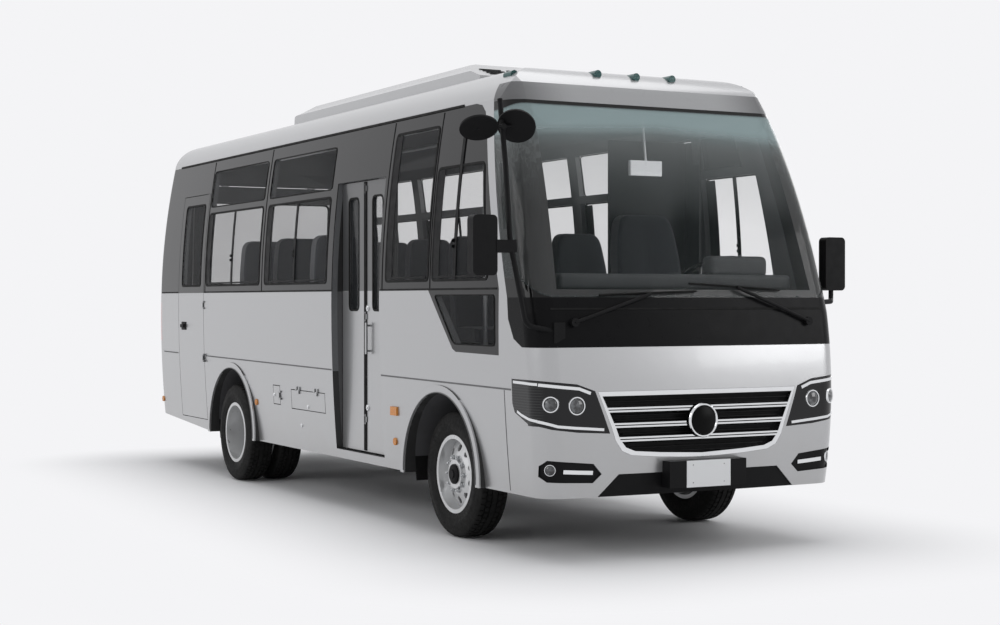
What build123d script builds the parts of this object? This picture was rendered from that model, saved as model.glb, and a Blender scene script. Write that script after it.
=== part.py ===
"""Small passenger minibus, 7.2 m long, as separate sub-parts.

Millimetres, +X forward, +Y to the vehicle's left, +Z up.  The origin is on
the ground, on the centre line, at mid length.
"""
import math
import os
from functools import cache

from build123d import *

# ---------------------------------------------------------------- driving sizes
# body
half_length = 3590
half_width = 1035          # at the waist
waist_z = 1400
flank_radius = 6800        # side wall above the waist
lower_flank_radius = 12000
cant_z = 2600              # side wall meets roof
gutter_lean = 20           # degrees from vertical where the roof starts
cant_radius = 330
crown_radius = 3600
wall = 45                  # side walls, roof, nose and tail
glass = 6
seam = 6                   # gap round every opening panel
skirt_z = 355
tail_skirt_z = 440
tail_rise_x = -2250        # skirt starts to rise behind here
front_bow_radius = 12000
front_corner_radius = 140
rear_bow_radius = 12000
rear_corner_radius = 100
brow_radius = 4400         # roof falls gently from here to the lamps
brow_top_x = 1900
brow_break_x = 2700
brow_corner_radius = 300   # and turns down over the screen
tail_roof_radius = 170

# height, front centre x, rear centre x of the plan outline
lower_stations = ((300, 3478, -3572), (680, 3507, -3585), (1370, 3447, -3580))
upper_stations = ((1370, 3447, -3580), (1930, 3265, -3550), (2490, 3030, -3500), (2950, 2745, -3440))

# axles and wheels
front_axle_x = 2210
rear_axle_x = -1590
tyre_radius = 383.5
tyre_width = 210
rim_radius = 222.5
front_wheel_y = 835
twin_outer_y = 900
twin_inner_y = 655
kingpin_y = 700
kingpin_radius = 15
pin_clearance = 0.05
front_arch_radius = 495
rear_arch_radius = 512
arch_lip = 48
arch_lip_y = 1033
steering_lock = 30

# floor and frame
floor_z = 800
floor_thickness = 40
floor_half_width = 975
rail_y = 380
rail_width = 70
rail_height = 120
rail_top_z = 590
rail_front_x = 3300
rail_rear_x = -3330
tow_eye_radius = 16
tow_pin_radius = 14
step_z = 400
second_step_z = 600
step_sheet = 4

# right-hand entrance
entry_rear_x = 530
entry_front_x = 1341
entry_top_z = 2245
entry_leaf_y = 951         # outer face of the folding leaves
leaf_thickness = 32
leaf_bottom_z = 424
portal_inner_y = 905
sill_z = 415               # the skirt runs on below the leaves

# opening panels, right side
rear_door_x = (-2943, -2257)
rear_door_top_z = 2330
rear_door_bottom_z = 440
fuel_flap_x = (-656, -510)
fuel_flap_z = (660, 806)
hatch_x = (-284, 372)
hatch_z = (645, 790)
flap_thickness = 20

# outside hinges: the pin stands off the skin by the lift
hinge_half = 33
hinge_tab_half = 18
hinge_reach = 26
hinge_fit = 0.3
hinge_root = 16            # how far the tabs are let into the panels
rear_door_hinge = (-2260, -1042)
rear_door_hinge_z = (960, 1400)
fuel_flap_hinge = (-513, -1026)
hatch_hinge = (-1026, 787)
hatch_hinge_x = (-130, 218)
tailgate_hinge = (-3512, 2477)
tailgate_hinge_y = (-420, 420)
tailgate_hinge_lift = 17
leaf_hinge_y = -955
leaf_hinge_z = (640, 1330, 2190)
pivot_radius = 5           # pins at the rear edge of the entrance

# glazing band
belt_z = 1500
band_rear_x = -3440
band_front_belt_x = 3004
band_front_cant_x = 2655
window_bottom_z = 1560
slider_top_z = 2155
upper_bottom_z = 2210
upper_top_z = 2505
screen_bottom_z = 1455
screen_top_z = 2590
screen_side_belt_x = 3100
screen_side_cant_x = 2745
mask_bottom_z = 1180
header_top_z = 2700
rear_bumper_top_z = 985
rear_bumper_front_x = -2957
nose_seam_x = 3012

# tailgate
tailgate_half_width = 730
tailgate_top_z = 2480
rear_window_half_width = 600
rear_window_z = (1580, 2330)

# nose
grille_outline = (
    (0, 937), (672, 937), (590, 735), (565, 663), (525, 606), (465, 580), (300, 566), (0, 552)
)
lamp_outline = (
    (690, 941), (800, 980), (1100, 1010), (1100, 750), (1000, 750), (950, 735), (800, 716), (600, 705)
)
lamp_rear_x = 3141
lamp_side_outline = (
    (3141, 1100), (3141, 866), (3165, 816), (3238, 788), (3310, 760), (3360, 600), (3700, 600), (3700, 1100)
)
intake_outline = ((0, 478), (540, 478), (668, skirt_z), (0, skirt_z))
fog_outline = ((647, 483), (700, 542), (965, 566), (992, 535), (990, 475), (960, 446), (700, 435))
trim_depth = 30
trim_face = 8              # recess of the dark inserts behind the skin
plate_bracket_width = 520
plate = (3, 296, 150)


# ---------------------------------------------------------------- small helpers
def block(x, y, z):
    """Box between two corners, given as a pair of limits along each axis."""
    size = [high - low for low, high in (x, y, z)]
    middle = [(high + low) / 2 for low, high in (x, y, z)]
    return Pos(*middle) * Box(*size)


def mirrored(side, limits):
    """The limits of a strip on the left (+1) or right (-1) side."""
    return tuple(sorted(side * value for value in limits))


def prism(axis, points, low, high):
    """Straight prism of a polygon: points are (y, z), (x, z) or (x, y)."""
    if axis == "x":
        plane = Plane(origin=(low, 0, 0), x_dir=(0, 1, 0), z_dir=(1, 0, 0))
    elif axis == "y":
        plane = Plane(origin=(0, high, 0), x_dir=(1, 0, 0), z_dir=(0, -1, 0))
    else:
        plane = Plane(origin=(0, 0, low), x_dir=(1, 0, 0), z_dir=(0, 0, 1))
    return extrude(plane * make_face(Polyline(*points, close=True)), amount=high - low)


def rod(start, end, radius):
    """Round bar between two points."""
    axis = Vector(*end) - Vector(*start)
    return Plane(origin=start, z_dir=axis) * Cylinder(
        radius, axis.length, align=(Align.CENTER, Align.CENTER, Align.MIN)
    )


def bent_tube(points, bends, radius):
    """Round bar along straight runs joined by tangent arcs."""
    path = FilletPolyline(*points, radius=bends)
    section = Plane(origin=path @ 0, z_dir=path % 0) * Circle(radius)
    return sweep(section, path=path)


def hinge(pin, axis, direction, lift, eye=6):
    """Moving tab with its pin, and the two fixed eyes.

    The pin runs along axis, the tab reaches out in direction, and the skin
    lies lift away from the pin, on the side of axis x direction.
    """
    place = Plane(origin=pin, x_dir=direction, z_dir=axis)
    pin_radius = eye * 0.55
    plate_y, root_y = (-pin_radius, lift - 2), (-pin_radius, lift + hinge_root)
    tab_z = (-hinge_tab_half, hinge_tab_half)
    moving = Cylinder(pin_radius, 2 * hinge_half)
    moving = moving + block((0, hinge_reach), plate_y, tab_z) + block((6, hinge_reach), root_y, tab_z)
    fixed = []
    for end in (-1, 1):
        z = mirrored(end, (hinge_tab_half + 2, hinge_half))
        ring = Pos(0, 0, sum(z) / 2) * Cylinder(eye, z[1] - z[0])
        plates = block((-hinge_reach, 0), plate_y, z) + block((-hinge_reach, -6), root_y, z)
        fixed.append(ring + plates - Cylinder(pin_radius + hinge_fit, 2 * hinge_half + 2))
    return place * moving, [place * piece for piece in fixed]


def write(node, *solids):
    """Write one node as one STEP file."""
    pieces = [solid for item in solids for solid in item.solids()]
    shape = pieces[0] if len(pieces) == 1 else Compound(children=pieces)
    shape.label = node
    export_step(shape, f"parts/{node}.step")


# ---------------------------------------------------------------- body envelope
def flank_y(z, inset=0):
    """Half width of the side wall at a height."""
    radius = flank_radius if z > waist_z else lower_flank_radius
    drop = radius - math.sqrt(radius**2 - (z - waist_z) ** 2)
    return half_width - drop - inset


def plan_outline(z, front_x, rear_x, inset):
    """Closed plan outline of the body at one height."""
    side_y = flank_y(z, inset)
    ends = []
    for tip, bow, corner, sign in (
        (front_x - inset, front_bow_radius - inset, front_corner_radius - inset / 2, 1),
        (rear_x + inset, rear_bow_radius - inset, rear_corner_radius - inset / 2, -1),
    ):
        bow_x = tip - sign * bow
        corner_y = side_y - corner
        corner_x = bow_x + sign * math.sqrt((bow - corner) ** 2 - corner_y**2)
        reach = bow / (bow - corner)
        meet = (bow_x + (corner_x - bow_x) * reach, corner_y * reach)
        turn = math.atan2(corner_y, abs(corner_x - bow_x))
        half = (turn + math.pi / 2) / 2
        middle = (corner_x + sign * corner * math.cos(half), corner_y + corner * math.sin(half))
        ends.append((tip, meet, middle, (corner_x, side_y)))
    (front_tip, f_meet, f_mid, f_side), (rear_tip, r_meet, r_mid, r_side) = ends

    def at(point, side):
        return (point[0], side * point[1], z)

    edges = [
        ThreePointArc(at(f_meet, -1), (front_tip, 0, z), at(f_meet, 1)),
        ThreePointArc(at(f_meet, 1), at(f_mid, 1), at(f_side, 1)),
        Line(at(f_side, 1), at(r_side, 1)),
        ThreePointArc(at(r_side, 1), at(r_mid, 1), at(r_meet, 1)),
        ThreePointArc(at(r_meet, 1), (rear_tip, 0, z), at(r_meet, -1)),
        ThreePointArc(at(r_meet, -1), at(r_mid, -1), at(r_side, -1)),
        Line(at(r_side, -1), at(f_side, -1)),
        ThreePointArc(at(f_side, -1), at(f_mid, -1), at(f_meet, -1)),
    ]
    return make_face(edges)


def roof_section(inset):
    """Cross-section prism that rounds the roof over the whole length."""
    gutter_y = flank_y(cant_z) + 1
    lean = math.radians(gutter_lean)
    centre_y = gutter_y - cant_radius * math.cos(lean)
    centre_z = cant_z - cant_radius * math.sin(lean)
    radius = cant_radius - inset
    crown = crown_radius - inset
    tilt = math.asin(centre_y / (crown_radius - cant_radius))
    crown_z = centre_z - (crown_radius - cant_radius) * math.cos(tilt)

    def on_cant(angle):
        return (centre_y + radius * math.cos(angle), centre_z + radius * math.sin(angle))

    start = on_cant(lean)
    top = on_cant(math.pi / 2 - tilt)
    half = on_cant((lean + math.pi / 2 - tilt) / 2)
    drop = start[1] - 100
    foot = (start[0] + drop * math.tan(lean), 100)

    def left(point):
        return (-point[0], point[1])

    face = make_face(
        [
            Line(foot, start),
            ThreePointArc(start, half, top),
            ThreePointArc(top, (0, crown_z + crown), left(top)),
            ThreePointArc(left(top), left(half), left(start)),
            Line(left(start), left(foot)),
            Line(left(foot), foot),
        ]
    )
    plane = Plane(origin=(-half_length - 200, 0, 0), x_dir=(0, 1, 0), z_dir=(1, 0, 0))
    return extrude(plane * face, amount=2 * half_length + 400)


crown_top_z = (
    cant_z
    - cant_radius * math.sin(math.radians(gutter_lean))
    - (crown_radius - cant_radius)
    * math.cos(
        math.asin(
            (flank_y(cant_z) + 1 - cant_radius * math.cos(math.radians(gutter_lean)))
            / (crown_radius - cant_radius)
        )
    )
    + crown_radius
)


def length_section(inset, bottom):
    """Side-profile prism: skirt line, brow at the front and rounded tail."""
    top = crown_top_z + 3 - inset
    tail = tail_roof_radius - inset / 2
    slope = math.asin((brow_break_x - brow_top_x) / brow_radius)
    gentle, corner = brow_radius - inset, brow_corner_radius - inset
    brow_centre = (brow_top_x, top - gentle)
    corner_centre = (
        brow_centre[0] + (gentle - corner) * math.sin(slope),
        brow_centre[1] + (gentle - corner) * math.cos(slope),
    )

    def brow(centre, radius, angle):
        return (centre[0] + radius * math.sin(angle), centre[1] + radius * math.cos(angle))

    fall = math.radians(60)
    brow_break = brow(corner_centre, corner, slope)
    brow_mid = brow(corner_centre, corner, (slope + fall) / 2)
    brow_end = brow(corner_centre, corner, fall)
    roof_mid = brow(brow_centre, gentle, slope / 2)
    tail_x = upper_stations[2][2] + inset - 25
    tail_centre = (tail_x + tail, top - tail)
    tail_mid = (tail_centre[0] - tail * math.sqrt(0.5), tail_centre[1] + tail * math.sqrt(0.5))
    nose_x = half_length + 200
    brow_foot = (nose_x, brow_end[1] - (nose_x - brow_end[0]) * math.tan(math.radians(60)))
    tail_foot_x = tail_x - 100
    skirt = skirt_z if bottom is None else bottom
    rise = tail_skirt_z if bottom is None else bottom
    face = make_face(
        [
            Line((tail_foot_x, rise), (tail_rise_x, skirt)),
            Line((tail_rise_x, skirt), (nose_x, skirt)),
            Line((nose_x, skirt), brow_foot),
            Line(brow_foot, brow_end),
            ThreePointArc(brow_end, brow_mid, brow_break),
            ThreePointArc(brow_break, roof_mid, (brow_top_x, top)),
            Line((brow_top_x, top), (tail_centre[0], top)),
            ThreePointArc((tail_centre[0], top), tail_mid, (tail_x, tail_centre[1])),
            Line((tail_x, tail_centre[1]), (tail_foot_x, 1900)),
            Line((tail_foot_x, 1900), (tail_foot_x, rise)),
        ]
    )
    plane = Plane(origin=(0, half_width + 100, 0), x_dir=(1, 0, 0), z_dir=(0, -1, 0))
    return extrude(plane * face, amount=2 * half_width + 200)


@cache
def envelope(inset, bottom=None):
    """Solid body form, inset all round; a given bottom makes it flat below."""
    lower = loft([plan_outline(*station, inset) for station in lower_stations])
    upper = loft([plan_outline(*station, inset) for station in upper_stations])
    return (lower + upper) & roof_section(inset) & length_section(inset, bottom)


os.makedirs("parts", exist_ok=True)

outer = envelope(0)
inner = envelope(wall, 200)
shell = outer - inner
skin = outer - envelope(glass, 200)
far = half_length + 300
wide = half_width + 200
deep = half_width - 300

# ---------------------------------------------------------------- panel regions
def band_front_x(z):
    """Front edge of the window band at a height."""
    return band_front_cant_x + (band_front_belt_x - band_front_cant_x) * (cant_z - z) / (cant_z - belt_z)


screen_region = prism(
    "y",
    (
        (screen_side_belt_x, screen_bottom_z),
        (far, screen_bottom_z),
        (far, screen_top_z),
        (screen_side_cant_x, screen_top_z),
    ),
    -wide,
    wide,
)
mask_region = prism(
    "y",
    (
        (screen_side_belt_x, screen_bottom_z),
        (screen_side_belt_x + 12, screen_bottom_z - 120),
        (screen_side_belt_x + 75, mask_bottom_z + 45),
        (screen_side_belt_x + 170, mask_bottom_z),
        (far, mask_bottom_z),
        (far, screen_bottom_z),
    ),
    -wide,
    wide,
)
header_region = prism(
    "y",
    (
        (screen_side_cant_x, screen_top_z),
        (far, screen_top_z),
        (far, header_top_z),
        (screen_side_cant_x - 40, header_top_z),
    ),
    -wide,
    wide,
)
nose_region = prism(
    "y",
    (
        (nose_seam_x + 55, 0),
        (far, 0),
        (far, cant_z),
        (band_front_cant_x, cant_z),
        (band_front_belt_x, belt_z),
        (nose_seam_x, belt_z),
        (nose_seam_x, waist_z - 450),
    ),
    -wide,
    wide,
)
roof_region = block((-far, far), (-wide, wide), (cant_z, 3200))
tail_region = block((-far, band_rear_x), (-wide, wide), (0, cant_z))
bumper_region = block((-far, rear_bumper_front_x), (-wide, wide), (0, rear_bumper_top_z))
band_region = prism(
    "y",
    (
        (band_rear_x, belt_z),
        (band_front_belt_x, belt_z),
        (band_front_x(cant_z - 150), cant_z - 150),
        (band_front_cant_x + 4, cant_z - 60),
        (band_front_cant_x - 52, cant_z - 16),
        (band_front_cant_x - 130, cant_z),
        (band_rear_x, cant_z),
    ),
    -wide,
    wide,
)
quarter_outline = ((2078, belt_z), (2408, 1150), (2452, 1134), (2996, 1128), (3002, belt_z))
quarter_region = prism("y", quarter_outline, -wide, wide)

# window openings of one side: lower and upper x limits of each pane
slider_bays = ((-2195, -925), (-805, 430))
front_bay = ((2130, 2425), (2455, 2860))
fixed_bay = (1440, 2070)


def window(x, z, side, slope=0):
    """Window opening in one side wall; slope leans its front edge back."""
    y_low, y_high = mirrored(side, (deep, wide))
    lean = slope * (z[1] - z[0])
    points = ((x[0], z[0]), (x[1], z[0]), (x[1] - lean, z[1]), (x[0], z[1]))
    return prism("y", points, y_low, y_high)


def side_windows(side):
    """Every glazed opening of one side wall."""
    openings = []
    bays = list(slider_bays)
    if side > 0:
        bays += [(-3380, -2315), (550, 1320)]
    for x in bays:
        openings.append(window(x, (window_bottom_z, slider_top_z), side))
        openings.append(window(x, (upper_bottom_z, upper_top_z), side))
    openings.append(window(fixed_bay, (window_bottom_z, upper_top_z), side))
    front_x = (front_bay[0][0], front_bay[1][1])
    openings.append(window(front_x, (window_bottom_z, slider_top_z + 85), side, 0.19))
    openings.append(window((front_x[0], 2600), (upper_bottom_z + 85, upper_top_z), side, 0.3))
    y_low, y_high = mirrored(side, (deep, wide))
    openings.append(
        prism("y", ((2165, 1470), (2440, 1180), (2960, 1172), (2964, 1470)), y_low, y_high)
    )
    return openings


# ---------------------------------------------------------------- opening panels
entry_cut = block((entry_rear_x, entry_front_x), (-wide, -deep), (sill_z, entry_top_z))
rear_door_cut = block(rear_door_x, (-wide, -deep), (rear_door_bottom_z, rear_door_top_z))
rear_door_body = block(
    (rear_door_x[0] + seam, rear_door_x[1] - seam),
    (-wide, -deep),
    (rear_door_bottom_z + seam, rear_door_top_z - seam),
)
rear_door_window = block(
    (rear_door_x[0] + 100, rear_door_x[1] - 90),
    (-wide, -deep),
    (window_bottom_z, rear_door_top_z - 90),
)
flap_cut = block(fuel_flap_x, (-wide, -deep), fuel_flap_z)
hatch_cut = block(hatch_x, (-wide, -deep), hatch_z)
flap_skin = outer - envelope(flap_thickness, 200)
pocket_skin = outer - envelope(flap_thickness + 12, 200)
tailgate_z = (rear_bumper_top_z, tailgate_top_z)
tailgate_cut = block((-far, -3300), (-tailgate_half_width, tailgate_half_width), tailgate_z)
tailgate_body = block(
    (-far, -3300),
    (-tailgate_half_width + seam, tailgate_half_width - seam),
    (tailgate_z[0] + seam, tailgate_z[1] - seam),
)
rear_window_cut = block(
    (-far, -3300), (-rear_window_half_width, rear_window_half_width), rear_window_z
)
rear_glass_region = block(
    (-far, -3300),
    (-tailgate_half_width + seam, tailgate_half_width - seam),
    (rear_window_z[0] - 45, tailgate_z[1] - seam),
)


def shrink(limits, gap=seam):
    """Limits of a panel that lies in an opening with a gap all round."""
    return (limits[0] + gap, limits[1] - gap)


def arch(axle_x, radius, y):
    """Round wheel-arch opening."""
    return rod((axle_x, y[0], tyre_radius), (axle_x, y[1], tyre_radius), radius)


# ---------------------------------------------------------------- hinges
door_hinges = [
    hinge((*rear_door_hinge, z), (0, 0, -1), (-1, 0, 0), -rear_door_hinge[1] - flank_y(z))
    for z in rear_door_hinge_z
]
flap_middle_z = sum(fuel_flap_z) / 2
flap_hinge = hinge(
    (*fuel_flap_hinge, flap_middle_z),
    (0, 0, -1),
    (-1, 0, 0),
    -fuel_flap_hinge[1] - flank_y(flap_middle_z),
)
hatch_hinges = [
    hinge((x, *hatch_hinge), (1, 0, 0), (0, 0, -1), -hatch_hinge[0] - flank_y(hatch_hinge[1]))
    for x in hatch_hinge_x
]
gate_hinges = [
    hinge((tailgate_hinge[0], y, tailgate_hinge[1]), (0, -1, 0), (0, 0, -1), tailgate_hinge_lift)
    for y in tailgate_hinge_y
]


# ---------------------------------------------------------------- side walls
def side_wall(side):
    """Side wall from the skirt to the cant rail, with openings cut."""
    y_low, y_high = mirrored(side, (deep, wide))
    body = shell & block((-far, far), (y_low, y_high), (0, cant_z))
    body = body - nose_region - tail_region - bumper_region
    body = body - (skin & (band_region + quarter_region))
    for opening in side_windows(side):
        body = body - opening
    for axle_x, radius in (
        (front_axle_x, front_arch_radius),
        (rear_axle_x, rear_arch_radius),
    ):
        lip_y = mirrored(side, (arch_lip_y - wall - 20, arch_lip_y))
        lip = arch(axle_x, radius + arch_lip, lip_y)
        lip = (lip & block((-far, far), lip_y, (skirt_z, 2000))) - inner
        body = body + lip - arch(axle_x, radius, (y_low, y_high))
    if side < 0:
        body = body - entry_cut - rear_door_cut
        body = body - (pocket_skin & (flap_cut + hatch_cut))
        for _, eyes in (*door_hinges, flap_hinge, *hatch_hinges):
            body = body + eyes
    return body


def side_glass(side):
    """Flush glass skin of the window band and the lower front quarter."""
    y_low, y_high = mirrored(side, (deep, wide))
    region = band_region + quarter_region
    band = skin & region & block((-far, far), (y_low, y_high), (0, cant_z))
    if side < 0:
        band = band - entry_cut - rear_door_cut
    return band


write("side_wall_right", side_wall(-1))
write("side_wall_left", side_wall(1))
write("side_glass", side_glass(-1), side_glass(1))

# ---------------------------------------------------------------- roof, nose, tail
roof = shell & roof_region
write("roof_panel", roof - (header_region & outer))

nose = (shell & nose_region) - roof_region
nose = nose - mask_region - (skin & screen_region)
screen_cut = prism(
    "x",
    ((-870, 1500), (870, 1500), (800, screen_top_z - 30), (-800, screen_top_z - 30)),
    2500,
    far,
)
nose = nose - screen_cut - (header_region & outer)


def both_sides(points, x_low):
    """Front-view prism of an outline and its mirror image."""
    left = prism("x", points, x_low, far)
    return left + mirror(left, about=Plane.XZ)


lamp_region = both_sides(lamp_outline, lamp_rear_x) & prism("y", lamp_side_outline, -1200, 1200)
fog_region = both_sides(fog_outline, 3300)
grille_region = both_sides(grille_outline, 3300)
intake_region = both_sides(intake_outline, 3300)
trim_skin = outer - envelope(trim_depth, 200)
nose = nose - lamp_region - grille_region - (trim_skin & (fog_region + intake_region))
write("nose_panel", nose)
write("windscreen", skin & screen_region)
write("screen_surround", shell & header_region, shell & mask_region)
write("headlamps", shell & lamp_region)
trim_inserts = (envelope(trim_face, 200) & (fog_region + intake_region)) - envelope(trim_depth, 200)

# grille: dark louvred insert, chrome frame and bars, plain roundel
grille_back_x = 3448
grille_depth = 34
bar_half_height = 5
bar_z = ((826, 842), (740, 756), (662, 678))
bar_depth = 22
frame_band = 26
roundel_z = 762
roundel_radius = 66
roundel_thickness = 14


def outline_inset(points, inset):
    """Front-view outline pulled in towards the centre line and middle height."""
    z_low = min(z for _, z in points)
    z_high = max(z for _, z in points)
    scale = 1 - 2 * inset / (z_high - z_low)
    middle = (z_low + z_high) / 2
    return tuple(((y - inset) if y else 0, middle + (z - middle) * scale) for y, z in points)


grille_hole = both_sides(outline_inset(grille_outline, frame_band), 3300)
grille_back = grille_hole & block(
    (grille_back_x - grille_depth, grille_back_x), (-wide, wide), (0, 1000)
)
grille_frame = (outer & (both_sides(outline_inset(grille_outline, 1), 3300) - grille_hole)) & block(
    (grille_back_x - grille_depth, far), (-wide, wide), (0, 1000)
)
bars = [
    block((grille_back_x, far), (-wide, wide), (z - bar_half_height, z + bar_half_height))
    for heights in bar_z
    for z in heights
]
bars = ((bars[0] + bars[1:]) & grille_hole & outer) - envelope(bar_depth, 200)
roundel = rod((grille_back_x, 0, roundel_z), (3507 + roundel_thickness, 0, roundel_z), roundel_radius)
write("grille_bars", grille_frame + bars + roundel)

# number plates: bracket with four screw holes and a blank plate
plate_z = 467
plate_hole_radius = 3.2
plate_hole_spacing = (210, 100)
bracket_face_x = 3572
bracket = block((3440, bracket_face_x), (-plate_bracket_width / 2, plate_bracket_width / 2), (392, 542))
holes = []
for y in (-plate_hole_spacing[0] / 2, plate_hole_spacing[0] / 2):
    for z in (plate_z - plate_hole_spacing[1] / 2, plate_z + plate_hole_spacing[1] / 2):
        holes.append(rod((bracket_face_x - 20, y, z), (bracket_face_x + 20, y, z), plate_hole_radius))
front_bracket = bracket - holes
front_plate = block(
    (bracket_face_x, bracket_face_x + plate[0]), (-plate[1] / 2, plate[1] / 2), (392, 542)
) - holes
write("nose_trim", trim_inserts, grille_back, front_bracket - outer)

# ---------------------------------------------------------------- tail
lamp_column_y = (800, 1100)
lamp_column_z = (1080, 1420)
rear_plate_z = 700
rear_plate_y = 260
rear_bracket_depth = 4
bumper_step_z = 560

lamp_column = block((-far, -3440), lamp_column_y, lamp_column_z)
lamp_columns = lamp_column + mirror(lamp_column, about=Plane.XZ)
tail = (shell & tail_region) - bumper_region - tailgate_cut - lamp_columns
for _, eyes in gate_hinges:
    tail = tail + eyes
write("tail_panel", tail)
write("tail_lamps", (shell & lamp_columns) - bumper_region)
bumper = shell & bumper_region
write("rear_bumper", bumper)
gate_glass = (skin & rear_glass_region)
gate = (shell & tailgate_body) - (skin & rear_glass_region) - rear_window_cut
for tab, _ in gate_hinges:
    gate = gate + tab
    gate_glass = gate_glass - tab
write("tailgate", gate)
write("tailgate_glass", gate_glass)
rear_face_x = -3585
rear_bracket = block(
    (rear_face_x - rear_bracket_depth, rear_face_x + 30),
    (-rear_plate_y, rear_plate_y),
    (rear_plate_z - 90, rear_plate_z + 90),
)
rear_plate = block(
    (rear_face_x - rear_bracket_depth - plate[0], rear_face_x - rear_bracket_depth),
    (-220, 220),
    (rear_plate_z - 70, rear_plate_z + 70),
)
write("number_plates", front_plate, (rear_bracket - outer) + rear_plate)

# ---------------------------------------------------------------- opening panels
door_shell = shell & rear_door_body
door = door_shell - (skin & band_region) - rear_door_window
for tab, _ in door_hinges:
    door = door + tab
write("rear_door", door)
write("rear_door_glass", (skin & band_region) & rear_door_body)
flap = block(shrink(fuel_flap_x), (-wide, -deep), shrink(fuel_flap_z))
write("fuel_flap", (flap_skin & flap) + flap_hinge[0])
hatch = block(shrink(hatch_x), (-wide, -deep), shrink(hatch_z))
write("battery_hatch", (flap_skin & hatch) + hatch_hinges[0][0] + hatch_hinges[1][0])

# entrance: two folding leaves in a portal set back from the side wall
entry_seam_gap = 6
front_jamb_gap = 10
leaf_length = (entry_front_x - entry_rear_x - seam - front_jamb_gap - entry_seam_gap) / 2
rear_leaf_x = (entry_rear_x + seam, entry_rear_x + seam + leaf_length)
front_leaf_x = (rear_leaf_x[1] + entry_seam_gap, rear_leaf_x[1] + entry_seam_gap + leaf_length)
leaf_z = (leaf_bottom_z, entry_top_z - seam)
leaf_y = (-entry_leaf_y, -entry_leaf_y + leaf_thickness)
leaf_window_z = (1365, 2140)
leaf_window_inset = 105
leaf_window_radius = 45
leaf_glass = 5
portal_sheet = 12
leaf_handle_z = (1080, 1290)


def leaf_window(x, gap):
    """Rounded window opening of one leaf, reduced by a gap."""
    width = x[1] - x[0] - 2 * leaf_window_inset - 2 * gap
    height = leaf_window_z[1] - leaf_window_z[0] - 2 * gap
    plane = Plane(
        origin=(sum(x) / 2, leaf_y[1] + 20, sum(leaf_window_z) / 2),
        x_dir=(1, 0, 0),
        z_dir=(0, -1, 0),
    )
    face = plane * RectangleRounded(width, height, leaf_window_radius - gap)
    return extrude(face, amount=leaf_thickness + 40)


def leaf(x):
    """One door leaf with its window opening."""
    return block(x, leaf_y, leaf_z) - leaf_window(x, 0)


def leaf_pane(x):
    """Glass of one leaf, held in the middle of its thickness."""
    middle = sum(leaf_y) / 2
    return leaf_window(x, 0) & block(x, (middle - leaf_glass / 2, middle + leaf_glass / 2), leaf_z)


grab_x = front_leaf_x[0] + 62
grab_out = entry_leaf_y + 26
grab = rod((grab_x, -grab_out, leaf_handle_z[0]), (grab_x, -grab_out, leaf_handle_z[1]), 9)
for z in shrink(leaf_handle_z, 20):
    grab = grab + rod((grab_x, -entry_leaf_y, z), (grab_x, -grab_out, z), 7)
leaf_seam_x = (rear_leaf_x[1] + front_leaf_x[0]) / 2
front_leaf = leaf(front_leaf_x) + grab
rear_leaf = leaf(rear_leaf_x)
for z in leaf_hinge_z:
    tab, eyes = hinge(
        (leaf_seam_x, leaf_hinge_y, z), (0, 0, 1), (1, 0, 0), -leaf_hinge_y - entry_leaf_y, eye=3.5
    )
    front_leaf = front_leaf + tab
    rear_leaf = rear_leaf + eyes
pivot = (entry_rear_x + seam, -entry_leaf_y + leaf_thickness)
rear_leaf = rear_leaf + rod((*pivot, leaf_z[1] - 40), (*pivot, entry_top_z + portal_sheet - 1), pivot_radius)
rear_leaf = rear_leaf + rod((*pivot, step_z - step_sheet), (*pivot, leaf_z[0] + 40), pivot_radius)
write("entry_leaf_front", front_leaf)
write("entry_glass_front", leaf_pane(front_leaf_x))
write("entry_leaf_rear", rear_leaf)
write("entry_glass_rear", leaf_pane(rear_leaf_x))

portal = block(
    (entry_rear_x - portal_sheet, entry_front_x + portal_sheet),
    (-wide, -portal_inner_y),
    (step_z, entry_top_z + portal_sheet),
) - block((entry_rear_x, entry_front_x), (-wide, 0), (0, entry_top_z))
portal = portal & inner
pivot_bore = rod((*pivot, step_z - 20), (*pivot, entry_top_z + 20), pivot_radius + hinge_fit)

# ---------------------------------------------------------------- roof fittings
unit_x = (-1320, 1905)
unit_half_width = 600
unit_top_z = 2990
unit_shoulder_z = 2930
unit_shoulder = 60


def roof_unit():
    """Two-tier fairing with a sloping tail and a long sloping front."""
    body = prism(
        "y",
        (
            (unit_x[0], 2700),
            (unit_x[1], 2700),
            (unit_x[1], 2862),
            (unit_x[1] - 420, unit_top_z),
            (unit_x[0] + 230, unit_top_z),
            (unit_x[0], 2895),
        ),
        -unit_half_width,
        unit_half_width,
    )
    section = prism(
        "x",
        (
            (-unit_half_width, 2700),
            (unit_half_width, 2700),
            (unit_half_width - 15, unit_shoulder_z - 25),
            (unit_half_width - unit_shoulder, unit_shoulder_z),
            (unit_half_width - 2 * unit_shoulder, unit_top_z - 18),
            (unit_half_width - 3.2 * unit_shoulder, unit_top_z),
            (-unit_half_width + 3.2 * unit_shoulder, unit_top_z),
            (-unit_half_width + 2 * unit_shoulder, unit_top_z - 18),
            (-unit_half_width + unit_shoulder, unit_shoulder_z),
            (-unit_half_width + 15, unit_shoulder_z - 25),
        ),
        unit_x[0] - 10,
        unit_x[1] + 10,
    )
    return (body & section) - outer


write("roof_unit", roof_unit())


def dome(x, y, z, length, width, height):
    """Half-round lamp body lying along X, its flat side down."""
    body = rod((x - length / 2, y, z), (x + length / 2, y, z), height)
    return body & block((x - length, x + length), (y - width, y + width), (z - 60, z + height))


lamp_spots = ((2713, 804), (2713, -804), (2758, 263), (2758, -263), (2768, 0))


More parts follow.
